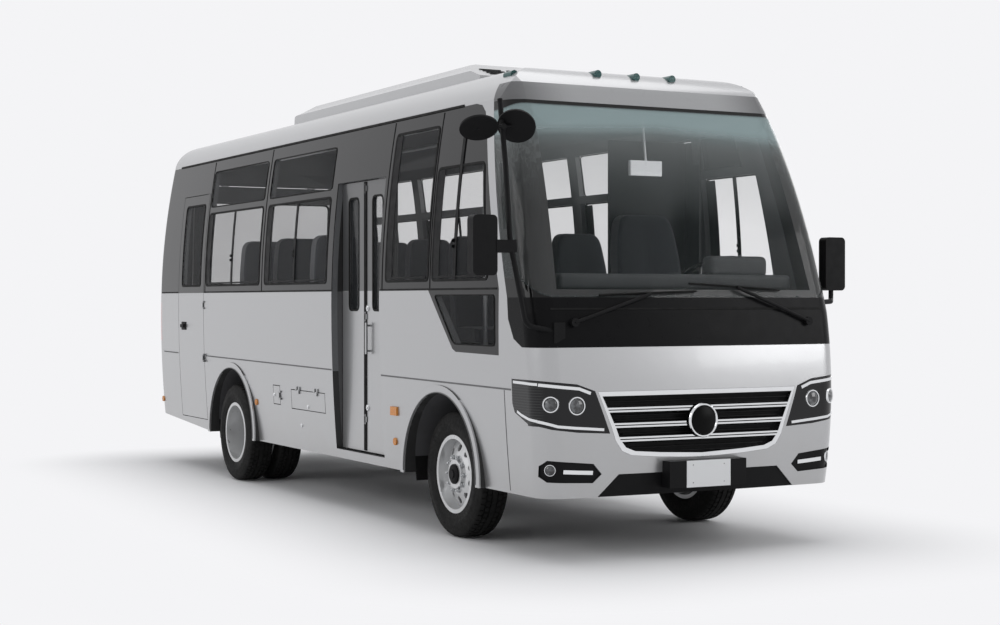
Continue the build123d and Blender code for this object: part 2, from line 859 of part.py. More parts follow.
def roof_height(x, y):
    """Height of the roof skin over a plan point."""
    probe = rod((x, y, 2000), (x, y, 3200), 1) & outer
    return probe.bounding_box().max.Z


markers = [dome(x, y, roof_height(x, y) - 6, 96, 60, 24) - outer for x, y in lamp_spots]
side_markers = ((-3471, 559), (-1031, 655), (1533, 536))
for side in (-1, 1):
    for x, z in side_markers:
        y = side * flank_y(z)
        markers.append(rod((x, y - side * 4, z), (x, y + side * 9, z), 24) - outer)
    x, z = (1547, 732)
    y = side * flank_y(z)
    lens = block((x - 48, x + 48), mirrored(side, (flank_y(z) - 20, flank_y(z) + 12)), (z - 28, z + 28))
    markers.append(lens - outer)
write("marker_lamps", *markers)

# mirrors: heads outside the body line, on arms in front of the pillars
mirror_reach = 1348
mirror_head = (70, 150, 330)
arm_radius = 15
disc_radius = 108


def mirror_head_solid(x, side, z_low):
    """Upright mirror head with rounded edges."""
    y = mirrored(side, (mirror_reach - mirror_head[1], mirror_reach))
    head = block((x - mirror_head[0] / 2, x + mirror_head[0] / 2), y, (z_low, z_low + mirror_head[2]))
    return fillet(head.edges().filter_by(Axis.X), 28)


right_arm = bent_tube(
    ((3425, -860, 1262), (3395, -1075, 1300), (3272, -1108, 1760), (3205, -1100, 2180), (3100, -1080, 2560)),
    60,
    arm_radius,
)
right_foot = block((3300, 3440), (-925, -855), (1205, 1318)) - outer
right_clamp = block((3225, 3300), (-1205, -1080), (1700, 1770))
disc_bar = rod((3150, -1010, 2410), (3180, -1262, 2385), 9)
disc_arm = rod((3152, -1090, 2402), (3170, -1090, 2402), 16)
discs = rod((3161, -1007, 2412), (3169, -1013, 2404), disc_radius)
discs = discs + rod((3177, -1252, 2391), (3183, -1254, 2381), disc_radius)
right_mirror = mirror_head_solid(3262, -1, 1575) + right_arm + right_foot + right_clamp
right_mirror = (right_mirror + disc_bar + disc_arm + discs) - outer
left_arm_points = ((3300, 960, 1425), (3240, 1130, 1432), (3105, 1240, 1440), (3080, 1262, 1560))
left_arm = bent_tube(left_arm_points, 40, arm_radius)
left_mirror = (mirror_head_solid(3075, 1, 1500) + left_arm) - outer
write("mirrors", right_mirror, left_mirror)

# wipers: pivot boss, arm and blade just off the screen
wiper_pivot_y = 800
wiper_pivot_z = 1318
wiper_boss_radius = 24
wiper_arm_radius = 9
wiper_blade_radius = 8
wiper_link_radius = 5
wiper_clear = 6


def front_reach(y, z):
    """How far forward the front skin stands at a height and an offset from the centre line."""
    probe = rod((3000, y, z), (4000, y, z), 1) & outer
    return probe.bounding_box().max.X


def wiper(pivot_y, tip_y, tip_z, blade_half):
    """Wiper parked along the foot of the screen."""
    boss_x = front_reach(pivot_y, wiper_pivot_z)
    boss = rod(
        (boss_x - 60, pivot_y, wiper_pivot_z), (boss_x + 26, pivot_y, wiper_pivot_z), wiper_boss_radius
    )
    blade_ends = ((tip_y - blade_half, tip_z - 14), (tip_y + blade_half, tip_z + 14))
    reach = max(front_reach(y, z) for y, z in (*blade_ends, (tip_y, tip_z), (tip_y, tip_z - 14)))
    blade_x = reach + wiper_clear + wiper_blade_radius
    arm_x = blade_x + wiper_blade_radius + wiper_arm_radius
    arm = rod((boss_x + 13, pivot_y, wiper_pivot_z), (arm_x, tip_y, tip_z), wiper_arm_radius)
    blade = rod((blade_x, *blade_ends[0]), (blade_x, *blade_ends[1]), wiper_blade_radius)
    link = rod((blade_x, tip_y, tip_z), (arm_x - 2, tip_y, tip_z), wiper_link_radius)
    return (boss - outer) + arm + link + blade


write("wipers", wiper(-wiper_pivot_y, -270, 1490, 300), wiper(wiper_pivot_y, 300, 1530, 300))

# ---------------------------------------------------------------- floor and steps
cabin_gap = 0.3
cabin = envelope(wall + cabin_gap, 200)
liner_inner_y = 500
liner_sheet = 6
liner_low_z = 455
liner_wall_z = 640
well_x = (entry_rear_x - portal_sheet, entry_front_x + portal_sheet)
well_riser_y = 520
well_inner_y = 240
engine_x = (2440, 3100)
engine_half_width = 270
engine_z = (470, 1010)
cover_clear = 30
cover_sheet = 12
cover_top_z = 1045

arches = ((front_axle_x, front_arch_radius), (rear_axle_x, rear_arch_radius))
floor = block((-3500, 3390), (-1000, 1000), (floor_z - floor_thickness, floor_z))
floor = floor - block(
    (well_x[0] - step_sheet, well_x[1] + step_sheet),
    (-1100, -well_inner_y + step_sheet),
    (0, floor_z + 1),
)
floor = floor - block(
    (engine_x[0] - cover_clear, engine_x[1] + cover_clear),
    (-engine_half_width - cover_clear, engine_half_width + cover_clear),
    (0, floor_z + 1),
)
liners = []
for axle_x, radius in arches:
    for side in (-1, 1):
        span = mirrored(side, (liner_inner_y - liner_sheet, 1100))
        floor = floor - arch(axle_x, radius + liner_sheet, span)
        hood = arch(axle_x, radius + liner_sheet, span) - arch(
            axle_x, radius, mirrored(side, (liner_inner_y, 1200))
        )
        low = block((axle_x - 700, axle_x + 700), span, (liner_low_z, 1200))
        wall_low = block(
            (axle_x - radius, axle_x + radius),
            mirrored(side, (liner_inner_y - liner_sheet - 1, liner_inner_y)),
            (0, liner_wall_z),
        )
        liners.append((hood & low) - wall_low)
floor = (floor + liners) & cabin
write("floor", floor)

steps = block(well_x, (-1000, -well_riser_y), (step_z - step_sheet, step_z))
steps = steps + block(
    well_x, (-well_riser_y - step_sheet, -well_riser_y), (step_z, second_step_z)
)
steps = steps + block(
    well_x, (-well_riser_y, -well_inner_y), (second_step_z - step_sheet, second_step_z)
)
riser_z = (second_step_z - step_sheet, floor_z)
steps = steps + block(well_x, (-well_inner_y, -well_inner_y + step_sheet), riser_z)
for x in ((well_x[0] - step_sheet, well_x[0]), (well_x[1], well_x[1] + step_sheet)):
    steps = steps + block(x, (-1000, -well_riser_y), (step_z - step_sheet, floor_z))
    steps = steps + block(x, (-well_riser_y, -well_inner_y + step_sheet), riser_z)
write("entrance_well", (steps & cabin) + portal - pivot_bore)

cover_x = (engine_x[0] - 60, engine_x[1] + 60)
cover_half = engine_half_width + 60
cover = block(cover_x, (-cover_half, cover_half), (floor_z, cover_top_z)) - block(
    shrink(cover_x, cover_sheet),
    (-cover_half + cover_sheet, cover_half - cover_sheet),
    (floor_z - 1, cover_top_z - cover_sheet),
)
write("engine_cover", cover)

# ---------------------------------------------------------------- chassis
rail_z = (rail_top_z - rail_height, rail_top_z)
full_bearers = (3240, 1640, 1420, 440, -250, -900, -2190, -2800, -3290)
short_bearers = (2200, -1400, -1780)
bearer_width = 50
short_reach = 485
cross_members = (3240, 1640, 440, -900, -2190, -3290)
cross_height = 60
spring_y = (425, 485)
spring_half = 600
spring_end = 60
hanger_drop = 30
front_seat_z = 392
rear_seat_z = 446
tow_eye_z = rail_z[0] + rail_height / 2

bearer_z = (rail_top_z, floor_z - floor_thickness)
cross_z = (rail_top_z - cross_height, rail_top_z)


def bearer(x, reach, z):
    """Bar across the chassis at one station."""
    return block((x - bearer_width / 2, x + bearer_width / 2), (-reach, reach), z)


frame_parts = []
for side in (-1, 1):
    rail_y_limits = mirrored(side, (rail_y - rail_width / 2, rail_y + rail_width / 2))
    frame_parts.append(block((rail_rear_x, rail_front_x), rail_y_limits, rail_z))
for x in full_bearers:
    frame_parts.append(bearer(x, 1000, bearer_z))
for x in short_bearers:
    frame_parts.append(bearer(x, short_reach, bearer_z))
for x in cross_members:
    frame_parts.append(bearer(x, rail_y, cross_z))
for axle_x, seat_z in ((front_axle_x, front_seat_z), (rear_axle_x, rear_seat_z)):
    for end in (-1, 1):
        middle = axle_x + end * (spring_half - spring_end / 2)
        hanger_x = (middle - spring_end / 2, middle + spring_end / 2)
        for side in (-1, 1):
            hanger_y = mirrored(side, (rail_y, spring_y[1]))
            frame_parts.append(block(hanger_x, hanger_y, (seat_z + 48, rail_z[1])))
tow_x = (rail_front_x, rail_front_x + 70)
frame_parts.append(block(tow_x, (rail_y - 12, rail_y + 12), (tow_eye_z - 40, tow_eye_z + 40)))
frame_parts.append(
    rod((rail_rear_x - 90, rail_y, tow_eye_z), (rail_rear_x, rail_y, tow_eye_z), tow_pin_radius)
)
frame = frame_parts[0] + frame_parts[1:]
eye_x = tow_x[1] - 35
frame = frame - rod((eye_x, rail_y - 60, tow_eye_z), (eye_x, rail_y + 60, tow_eye_z), tow_eye_radius)
frame = frame - block(
    (engine_x[0] - cover_clear, engine_x[1] + cover_clear),
    (-engine_half_width - cover_clear, engine_half_width + cover_clear),
    (0, floor_z),
)
write("chassis_frame", frame & cabin)

engine = block(engine_x, (-engine_half_width, engine_half_width), engine_z)
gearbox = block((1960, engine_x[0]), (-125, 125), (420, 580))
mounts = []
for side in (-1, 1):
    mounts.append(
        block((2700, 2800), mirrored(side, (engine_half_width, rail_y - rail_width / 2)), (500, 570))
    )
write("engine_block", engine + gearbox + mounts)

shaft_start = (1960, 0, 470)
shaft_end = (rear_axle_x + 150, 0, tyre_radius + 20)

tank = block((-960, -330), (-900, -470), (385, rail_top_z))
write("fuel_tank", fillet(tank.edges().filter_by(Axis.X), 40))
silencer = rod((80, 200, 385), (760, 200, 385), 88)
tail_pipe = bent_tube(((80, 200, 385), (-200, 200, 385), (-520, 560, 390), (-540, 930, 385)), 90, 30)
front_pipe = bent_tube(((760, 200, 385), (1500, 200, 385), (1900, 200, 490), (2460, 200, 500)), 90, 30)
exhaust_hanger = block((415, 465), (180, 220), (460, rail_top_z - cross_height))
write("exhaust", silencer + tail_pipe + (front_pipe - engine - gearbox) + exhaust_hanger)

# ---------------------------------------------------------------- axles
beam_z = (324, front_seat_z)
beam_half_x = 38
pin_boss_radius = 42
pin_boss_z = (318, 449)
knuckle_gap = 5
lug_height = 30
stub_radius = 30
stub_end_y = 882
spindle_radius = 40
axle_tube_radius = 55
axle_tube_end_y = 545
spindle_end_y = 782
spring_leaf_height = 42

springs = []
for axle_x, seat_z in ((front_axle_x, front_seat_z), (rear_axle_x, rear_seat_z)):
    low, high = seat_z, seat_z + spring_leaf_height
    tip_low, tip_high = high - 18, high + 6
    profile = []
    for x, z in (
        (-spring_half, tip_high),
        (-spring_half + spring_end, tip_high),
        (-120, high),
        (120, high),
        (spring_half - spring_end, tip_high),
        (spring_half, tip_high),
        (spring_half, tip_low),
        (spring_half - spring_end, tip_low),
        (120, low),
        (-120, low),
        (-spring_half + spring_end, tip_low),
        (-spring_half, tip_low),
    ):
        profile.append((axle_x + x, z))
    for side in (-1, 1):
        springs.append(prism("y", profile, *mirrored(side, spring_y)))
write("leaf_springs", *springs)

front_axle = block(
    (front_axle_x - beam_half_x, front_axle_x + beam_half_x), (-kingpin_y, kingpin_y), beam_z
)
bores = []
for side in (-1, 1):
    y = side * kingpin_y
    boss_foot, boss_head = ((front_axle_x, y, z) for z in pin_boss_z)
    front_axle = front_axle + rod(boss_foot, boss_head, pin_boss_radius)
    bores.append(rod((front_axle_x, y, 200), (front_axle_x, y, 600), kingpin_radius + pin_clearance))
write("front_axle", front_axle - bores)


def axle_bar(reach, radius):
    """Round bar across the vehicle on the rear axle's line."""
    return rod((rear_axle_x, -reach, tyre_radius), (rear_axle_x, reach, tyre_radius), radius)


pinion_z = tyre_radius + 20
rear_axle = axle_bar(axle_tube_end_y, axle_tube_radius) + axle_bar(spindle_end_y, spindle_radius)
rear_axle = rear_axle + Pos(rear_axle_x, 0, tyre_radius) * Sphere(140)
rear_axle = rear_axle + rod((rear_axle_x + 100, 0, pinion_z), (rear_axle_x + 150, 0, pinion_z), 60)
for side in (-1, 1):
    rear_axle = rear_axle + block(
        (rear_axle_x - 60, rear_axle_x + 60), mirrored(side, spring_y), (tyre_radius, rear_seat_z)
    )
write("rear_axle", rear_axle)
write("propeller_shaft", rod(shaft_start, shaft_end, 42) - gearbox - rear_axle)


def knuckle(side):
    """Steering knuckle: two lugs on the kingpin, a plate and the stub axle."""
    y = side * kingpin_y
    plate_y = mirrored(side, (kingpin_y + 48, kingpin_y + 72))
    lug_x = (front_axle_x - 36, front_axle_x + 36)
    lug_y = mirrored(side, (kingpin_y, kingpin_y + 72))
    lugs = []
    for z_low, z_high in (
        (pin_boss_z[0] - knuckle_gap - lug_height, pin_boss_z[0] - knuckle_gap),
        (pin_boss_z[1] + knuckle_gap, pin_boss_z[1] + knuckle_gap + lug_height),
    ):
        lugs.append(rod((front_axle_x, y, z_low), (front_axle_x, y, z_high), 36))
        lugs.append(block(lug_x, lug_y, (z_low, z_high)))
    foot_z = pin_boss_z[0] - knuckle_gap - lug_height
    head_z = pin_boss_z[1] + knuckle_gap + lug_height
    body = block((front_axle_x - 45, front_axle_x + 45), plate_y, (foot_z, head_z)) + lugs
    body = body + rod((front_axle_x, y, foot_z), (front_axle_x, y, head_z), kingpin_radius)
    stub_from = (front_axle_x, side * (kingpin_y + 60), tyre_radius)
    body = body + rod(stub_from, (front_axle_x, side * stub_end_y, tyre_radius), stub_radius)
    return body


write("knuckle_left", knuckle(1))
write("knuckle_right", knuckle(-1))

# ---------------------------------------------------------------- wheels
bead_half = 80
rim_fit = 0.3
disc_thickness = 10
hand_hole_radius = 22
hand_hole_circle = 150
hand_holes = 10
front_hub_radius = 88
rear_hub_radius = 100


def turned(profile):
    """Solid turned about the Y axis from (radius, y) points."""
    face = make_face(Polyline(*profile, close=True))
    return revolve(face, axis=Axis.Y, revolution_arc=360)


def tyre():
    """Tyre body, centred on its own middle plane, axis along Y."""
    half = tyre_width / 2
    edges = [
        Line((rim_radius, -bead_half), (rim_radius, bead_half)),
        Line((rim_radius, bead_half), (rim_radius + 20, bead_half)),
        ThreePointArc(
            (rim_radius + 20, bead_half), (rim_radius + 75, half), (tyre_radius - 22, half - 12)
        ),
        ThreePointArc(
            (tyre_radius - 22, half - 12), (tyre_radius - 7, half - 18), (tyre_radius, half - 32)
        ),
        Line((tyre_radius, half - 32), (tyre_radius, -half + 32)),
        ThreePointArc(
            (tyre_radius, -half + 32), (tyre_radius - 7, -half + 18), (tyre_radius - 22, -half + 12)
        ),
        ThreePointArc(
            (tyre_radius - 22, -half + 12), (rim_radius + 75, -half), (rim_radius + 20, -bead_half)
        ),
        Line((rim_radius + 20, -bead_half), (rim_radius, -bead_half)),
    ]
    return revolve(make_face(edges), axis=Axis.Y, revolution_arc=360)


def rim(disc_y, outward):
    """Rim barrel with a dished disc; outward is +1 when the dish faces +Y."""
    outer_r = rim_radius - rim_fit
    barrel = turned(
        (
            (outer_r - 8, -bead_half - 10),
            (outer_r + 16, -bead_half - 10),
            (outer_r + 16, -bead_half - 1),
            (outer_r, -bead_half - 1),
            (outer_r, bead_half + 1),
            (outer_r + 16, bead_half + 1),
            (outer_r + 16, bead_half + 10),
            (outer_r - 8, bead_half + 10),
        )
    )
    back = disc_y - outward * disc_thickness
    edge = disc_y - outward * 52
    disc = turned(
        (
            (40, disc_y),
            (hand_hole_circle - 32, disc_y),
            (hand_hole_circle + 28, disc_y - outward * 26),
            (outer_r - 4, edge),
            (outer_r - 4, edge - outward * disc_thickness),
            (hand_hole_circle + 20, back - outward * 26),
            (hand_hole_circle - 40, back),
            (40, back),
        )
    )
    holes = []
    for index in range(hand_holes):
        angle = 2 * math.pi * (index + 0.5) / hand_holes
        x = (hand_hole_circle + 8) * math.cos(angle)
        z = (hand_hole_circle + 8) * math.sin(angle)
        holes.append(rod((x, disc_y - 90, z), (x, disc_y + 90, z), hand_hole_radius))
    return barrel + (disc - holes)


def placed(solid, x, y):
    """Wheel part moved to its axle."""
    return Pos(x, y, tyre_radius) * solid


front_disc_y = 66
twins_y = (-twin_inner_y, -twin_outer_y)
twins_middle = sum(twins_y) / 2
front_tyre = placed(tyre(), front_axle_x, -front_wheel_y)
front_hub = rod((0, 34, 0), (0, -84, 0), front_hub_radius) - rod(
    (0, 40, 0), (0, front_wheel_y - stub_end_y - 1, 0), stub_radius + pin_clearance
)
front_rim = placed(rim(-front_disc_y, -1) + front_hub, front_axle_x, -front_wheel_y)
rear_tyres = [placed(tyre(), rear_axle_x, y) for y in twins_y]
rear_hub = rod((0, -610, 0), (0, -862, 0), rear_hub_radius) - rod(
    (0, -600, 0), (0, -spindle_end_y - 1, 0), spindle_radius + pin_clearance
)
rear_rims = placed(rear_hub, rear_axle_x, 0)
for y, outward in zip(twins_y, (-1, 1)):
    rear_rims = rear_rims + placed(rim(twins_middle - y, outward), rear_axle_x, y)
for node, pieces in (
    ("tyre_front", [front_tyre]),
    ("rim_front", [front_rim]),
    ("tyres_rear", rear_tyres),
    ("rims_rear", [rear_rims]),
):
    write(f"{node}_right", *pieces)
    write(f"{node}_left", *[mirror(piece, about=Plane.XZ) for piece in pieces])

flaps = []
flap_places = (
    (front_axle_x, front_arch_radius, (722, 972)),
    (rear_axle_x, rear_arch_radius, (560, 980)),
)
for axle_x, radius, y in flap_places:
    for side in (-1, 1):
        x = axle_x - radius + 4
        opening = arch(axle_x, radius, mirrored(side, (400, 1100)))
        flaps.append(block((x - 14, x - 6), mirrored(side, y), (205, 520)) - opening)
write("mud_flaps", *[flap & cabin for flap in flaps])

# ---------------------------------------------------------------- cab
wheel_centre = (2930, 480, 1590)
wheel_rim_radius = 215
wheel_rim_bar = 15
wheel_rake = 28
column_radius = 28


def raked(solid):
    """Steering parts, drawn about +Z, tilted back towards the driver."""
    return Pos(*wheel_centre) * Rot(0, -wheel_rake, 0) * solid


steering_wheel = Torus(wheel_rim_radius, wheel_rim_bar)
steering_wheel = steering_wheel + Pos(0, 0, -20) * Cylinder(52, 50)
for angle in (90, 210, 330):
    spoke = Rot(0, 0, angle) * (Pos(wheel_rim_radius / 2, 0, -12) * Box(wheel_rim_radius, 34, 14))
    steering_wheel = steering_wheel + spoke
write("steering_wheel", raked(steering_wheel))
column = raked(Pos(0, 0, -45.3 - 330) * Cylinder(column_radius, 660))
dash_profile = (
    (2930, 1050),
    (3330, 1050),
    (3330, 1440),
    (3290, 1470),
    (3060, 1500),
    (2960, 1440),
    (2930, 1330),
)
dash = prism("y", dash_profile, -1000, 1000) + block((2960, 3180), (250, 720), (1440, 1585))
dash = (dash & cabin) - column
column = column & block((2000, 4000), (-500, 1000), (floor_z, 3000))
dash = dash - raked(Cylinder(wheel_rim_radius + 30, 90)) + column
write("dashboard", dash)

seat_width = 440
seat_depth = 430
cushion_height = 120
back_height = 680
back_thickness = 110
seat_soft_gap = 0.3


def seat(x, y, z, width, base_z):
    """One seat: pedestal, cushion and leaning back as one closed solid."""
    half = width / 2
    foot = half * 0.62
    pedestal = block((x - 150, x + 130), (y - foot, y + foot), (base_z, z - cushion_height + 1))
    cushion = block((x - seat_depth / 2, x + seat_depth / 2), (y - half, y + half), (z - cushion_height, z))
    back = prism(
        "y",
        (
            (x - seat_depth / 2, z - cushion_height),
            (x - seat_depth / 2 + back_thickness, z - 20),
            (x - seat_depth / 2 + back_thickness - 130, z + back_height),
            (x - seat_depth / 2 - 130, z + back_height),
        ),
        y - half,
        y + half,
    )
    hoods = [
        arch(axle_x, radius + liner_sheet + seat_soft_gap, mirrored(side, (hood_y, 1100)))
        for axle_x, radius in arches
        for side in (-1, 1)
    ]
    return (pedestal + cushion + back) - hoods


hood_y = liner_inner_y - liner_sheet - seat_soft_gap
seat_rest = floor_z + seat_soft_gap
write("driver_seat", seat(2330, 520, 1330, 500, seat_rest))
pair_width = 880
double_y = 480
single_y = -715
double_rows = (1180, 420, -340, -1100, -1860)
single_rows = (120, -640, -1400)
seat_z = 1250
row_seats = [seat(x, double_y, seat_z, pair_width, seat_rest) for x in double_rows]
row_seats += [seat(x, single_y, seat_z, seat_width, seat_rest) for x in single_rows]
row_seats.append(seat(-2750, 260, seat_z, 1300, seat_rest))
write("passenger_seats", *row_seats)

rail_bar = 15
mirror_box = block((2900, 2925), (-110, 110), (2180, 2270))
mirror_stalk = rod((2920, 0, 2240), (2850, 0, 2760), 8)
stanchion_points = ((3120, -820, 1500), (2880, -800, 1790), (2560, -760, 2080), (2560, -700, 2600))
stanchion = bent_tube(stanchion_points, 100, rail_bar)
entry_post = rod((1480, -330, floor_z), (1480, -330, 2760), rail_bar)
ceiling_rails = []
for y in (-300, 300):
    ceiling_rails.append(rod((-2600, y, 2650), (1700, y, 2650), 14))
for x in (-2500, -1200, 100, 1400):
    for y in (-300, 300):
        ceiling_rails.append(rod((x, y, 2650), (x, y, 2900), 8))
fittings = [item & cabin for item in (entry_post, stanchion - dash, mirror_box + mirror_stalk)]
for first in (0, 1):
    fittings.append((ceiling_rails[first] + ceiling_rails[2 + first :: 2]) & cabin)
write("cabin_rails", *fittings)
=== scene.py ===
"""Surfaces, trim, seats, wheels and a plain studio for a small passenger minibus."""
import math

import bpy
from bpy.props import FloatProperty, FloatVectorProperty, IntProperty, PointerProperty
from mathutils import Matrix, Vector


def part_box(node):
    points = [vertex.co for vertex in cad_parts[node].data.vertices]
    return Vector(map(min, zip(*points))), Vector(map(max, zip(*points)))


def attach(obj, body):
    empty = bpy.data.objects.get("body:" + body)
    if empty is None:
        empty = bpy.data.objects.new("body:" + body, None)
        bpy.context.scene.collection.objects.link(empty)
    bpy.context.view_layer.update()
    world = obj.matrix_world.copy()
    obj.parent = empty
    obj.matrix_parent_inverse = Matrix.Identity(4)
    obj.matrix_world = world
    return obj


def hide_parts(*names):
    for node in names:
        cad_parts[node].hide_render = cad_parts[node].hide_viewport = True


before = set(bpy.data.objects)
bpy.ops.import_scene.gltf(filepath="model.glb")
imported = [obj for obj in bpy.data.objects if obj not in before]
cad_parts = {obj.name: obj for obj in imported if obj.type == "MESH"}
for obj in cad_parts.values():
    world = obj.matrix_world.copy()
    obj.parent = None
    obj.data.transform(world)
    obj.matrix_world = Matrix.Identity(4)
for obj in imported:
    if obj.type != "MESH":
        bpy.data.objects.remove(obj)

bl_info = {
    "name": "Minibus detailing",
    "version": (1, 0, 0),
    "blender": (4, 5, 0),
    "location": "3D View > Sidebar > Minibus",
    "description": "Surfaces, trim, seats and wheels of a small passenger minibus",
    "category": "Object",
}

FRONT_AXLE_X, REAR_AXLE_X, AXLE_Z = 2.21, -1.59, 0.3835
BELT_Z, CANT_Z, SKIRT_Z, FLOOR_Z = 1.50, 2.60, 0.37, 0.80
ARCHES = ((FRONT_AXLE_X, 0.498), (REAR_AXLE_X, 0.515))
SIDEWAYS = math.pi / 2  # turn of an axis that runs across the vehicle
TURNED = 60  # degrees within which the faces of turned parts are smoothed
SIDES = ((-1, "right"), (1, "left"))
SURROUNDINGS = (0.905, 0.905, 0.922, 1)
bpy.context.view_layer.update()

# window openings of one side: x limits, z limits, lean of the rear and front edges
SHARED_WINDOWS = (
    (-2.195, -0.925, 1.56, 2.155, 0, 0),
    (-2.195, -0.925, 2.21, 2.505, 0, 0),
    (-0.805, 0.43, 1.56, 2.155, 0, 0),
    (-0.805, 0.43, 2.21, 2.505, 0, 0),
    (1.44, 2.07, 1.56, 2.505, 0, 0),
    (2.13, 2.86, 1.56, 2.24, 0, 0.19),
    (2.165, 2.950, 1.18, 1.47, -0.9, 0),
)
RIGHT_WINDOWS = ((-2.843, -2.347, 1.56, 2.24, 0, 0),)
LEFT_WINDOWS = (
    (-3.38, -2.315, 1.56, 2.155, 0, 0),
    (-3.38, -2.315, 2.21, 2.505, 0, 0),
    (0.55, 1.32, 1.56, 2.155, 0, 0),
    (0.55, 1.32, 2.21, 2.505, 0, 0),
)


def colour(name, description, value):
    """One colour of the look."""
    return FloatVectorProperty(
        name=name, description=description, subtype="COLOR", size=3, min=0, max=1, default=value
    )


class MinibusLook(bpy.types.PropertyGroup):
    """Colours and sizes of the finish."""

    paint: colour("Paint", "Metallic paint of the body", (0.44, 0.443, 0.45))
    lining: colour("Lining", "Trim on the inside of the body", (0.10, 0.103, 0.107))
    glass: colour("Side glass", "Tint of the side windows", (0.020, 0.022, 0.024))
    band: colour("Window band", "Painted border of the side glass", (0.006, 0.006, 0.0065))
    screen_band: colour("Sun band", "Tinted strip at the top of the windscreen", (0.40, 0.51, 0.52))
    seat: colour("Seat cloth", "Cloth of the seats", (0.030, 0.033, 0.040))
    window_rubber: FloatProperty(
        name="Window rubber", description="Width of the rubber round each side window",
        default=0.016, min=0.005, max=0.04, unit="LENGTH",
    )
    tread_blocks: IntProperty(
        name="Tread blocks", description="Blocks round each tyre", default=60, min=20, max=90,
    )
    bevel: FloatProperty(
        name="Edge radius", description="Rounding of small fittings", default=0.003,
        min=0.0005, max=0.01, unit="LENGTH",
    )


# ---------------------------------------------------------------- materials
class Wire:
    """Output of a node, which sums, products and comparisons turn into maths nodes."""

    def __init__(self, finish, socket):
        self.finish, self.socket = finish, socket

    def __add__(self, other):
        return self.finish.math("ADD", self, other)

    def __sub__(self, other):
        return self.finish.math("SUBTRACT", self, other)

    def __rsub__(self, other):
        return self.finish.math("SUBTRACT", other, self)

    def __mul__(self, other):
        return self.finish.math("MULTIPLY", self, other)

    def __gt__(self, other):
        return self.finish.math("GREATER_THAN", self, other)

    def __lt__(self, other):
        return self.finish.math("LESS_THAN", self, other)

    def __or__(self, other):
        return self.finish.math("MAXIMUM", self, other)

    def __and__(self, other):
        return self.finish.math("MINIMUM", self, other)

    def __abs__(self):
        return self.finish.math("ABSOLUTE", self)


class Finish:
    """A node material being put together."""

    def __init__(self, name):
        self.material = bpy.data.materials.new(name)
        self.material.use_nodes = True
        self.tree = self.material.node_tree
        self.shader = self.tree.nodes["Principled BSDF"]
        self.place = self.coordinates("Object")

    def node(self, kind, **settings):
        made = self.tree.nodes.new(kind)
        for key, value in settings.items():
            setattr(made, key, value)
        return made

    def feed(self, socket, value):
        """Links a wire, or sets a number or a colour."""
        if isinstance(value, Wire):
            self.tree.links.new(value.socket, socket)
        elif hasattr(value, "__len__"):
            socket.default_value = (*value, 1)[: len(socket.default_value)]
        else:
            socket.default_value = value

    def set(self, **values):
        """Inputs of the surface shader, with _ for each space in their names."""
        for key, value in values.items():
            self.feed(self.shader.inputs[key.replace("_", " ")], value)

    def coordinates(self, kind):
        return Wire(self, self.node("ShaderNodeTexCoord").outputs[kind])

    def parts(self, vector):
        """X, Y and Z of a vector."""
        split = self.node("ShaderNodeSeparateXYZ")
        self.feed(split.inputs[0], vector)
        return [Wire(self, socket) for socket in split.outputs]

    def axes(self):
        return self.parts(self.place)

    def facing(self):
        return self.parts(self.coordinates("Normal"))

    def math(self, operation, *values):
        made = self.node("ShaderNodeMath", operation=operation)
        for socket, value in zip(made.inputs, values):
            self.feed(socket, value)
        return Wire(self, made.outputs[0])

    def wave(self, value):
        return self.math("SINE", value)

    def reach(self, first, second):
        """Length of a flat vector."""
        return self.math("SQRT", first * first + second * second)

    def outside(self, first, half_first, second, half_second):
        """Distance beyond a flat rectangle."""
        return self.reach((abs(first) - half_first) | 0.0, (abs(second) - half_second) | 0.0)

    def noise(self, scale, detail=3.0, place=None):
        made = self.node("ShaderNodeTexNoise")
        made.inputs["Scale"].default_value = scale
        made.inputs["Detail"].default_value = detail
        self.feed(made.inputs["Vector"], place or self.place)
        return Wire(self, made.outputs["Fac"])

    def cells(self, scale):
        made = self.node("ShaderNodeTexVoronoi", feature="F1")
        made.inputs["Scale"].default_value = scale
        self.feed(made.inputs["Vector"], self.place)
        return Wire(self, made.outputs["Distance"])

    def stretched(self, scale):
        mapping = self.node("ShaderNodeMapping")
        self.feed(mapping.inputs["Vector"], self.place)
        mapping.inputs["Scale"].default_value = scale
        return Wire(self, mapping.outputs[0])

    def span(self, value, low, high, to_low=0.0, to_high=1.0, kind="LINEAR"):
        made = self.node("ShaderNodeMapRange", interpolation_type=kind)
        for socket, number in zip(made.inputs, (value, low, high, to_low, to_high)):
            self.feed(socket, number)
        return Wire(self, made.outputs[0])

    def mix(self, factor, first, second):
        made = self.node("ShaderNodeMix", data_type="RGBA")
        for index, value in ((0, factor), (6, first), (7, second)):
            self.feed(made.inputs[index], value)
        return Wire(self, made.outputs[2])

    def mottled(self, factor, base, low, high):
        """A colour that wanders between a darker and a lighter shade."""
        return self.mix(factor, shade(base, low), shade(base, high))

    def worn(self, low, high, scale, detail=3.0):
        """Roughness that wanders between two values."""
        self.set(Roughness=self.span(self.noise(scale, detail), 0.3, 0.7, low, high))

    def bump(self, height, strength=0.2, distance=0.001):
        made = self.node("ShaderNodeBump")
        made.inputs["Strength"].default_value = strength
        made.inputs["Distance"].default_value = distance
        self.feed(made.inputs["Height"], height)
        self.set(Normal=Wire(self, made.outputs[0]))


def shade(base, factor):
    """A colour made darker or lighter."""
    return tuple(min(1.0, channel * factor) for channel in base)


def grey(level):
    """An even grey."""
    return (level, level, level)


FINISHES = {}


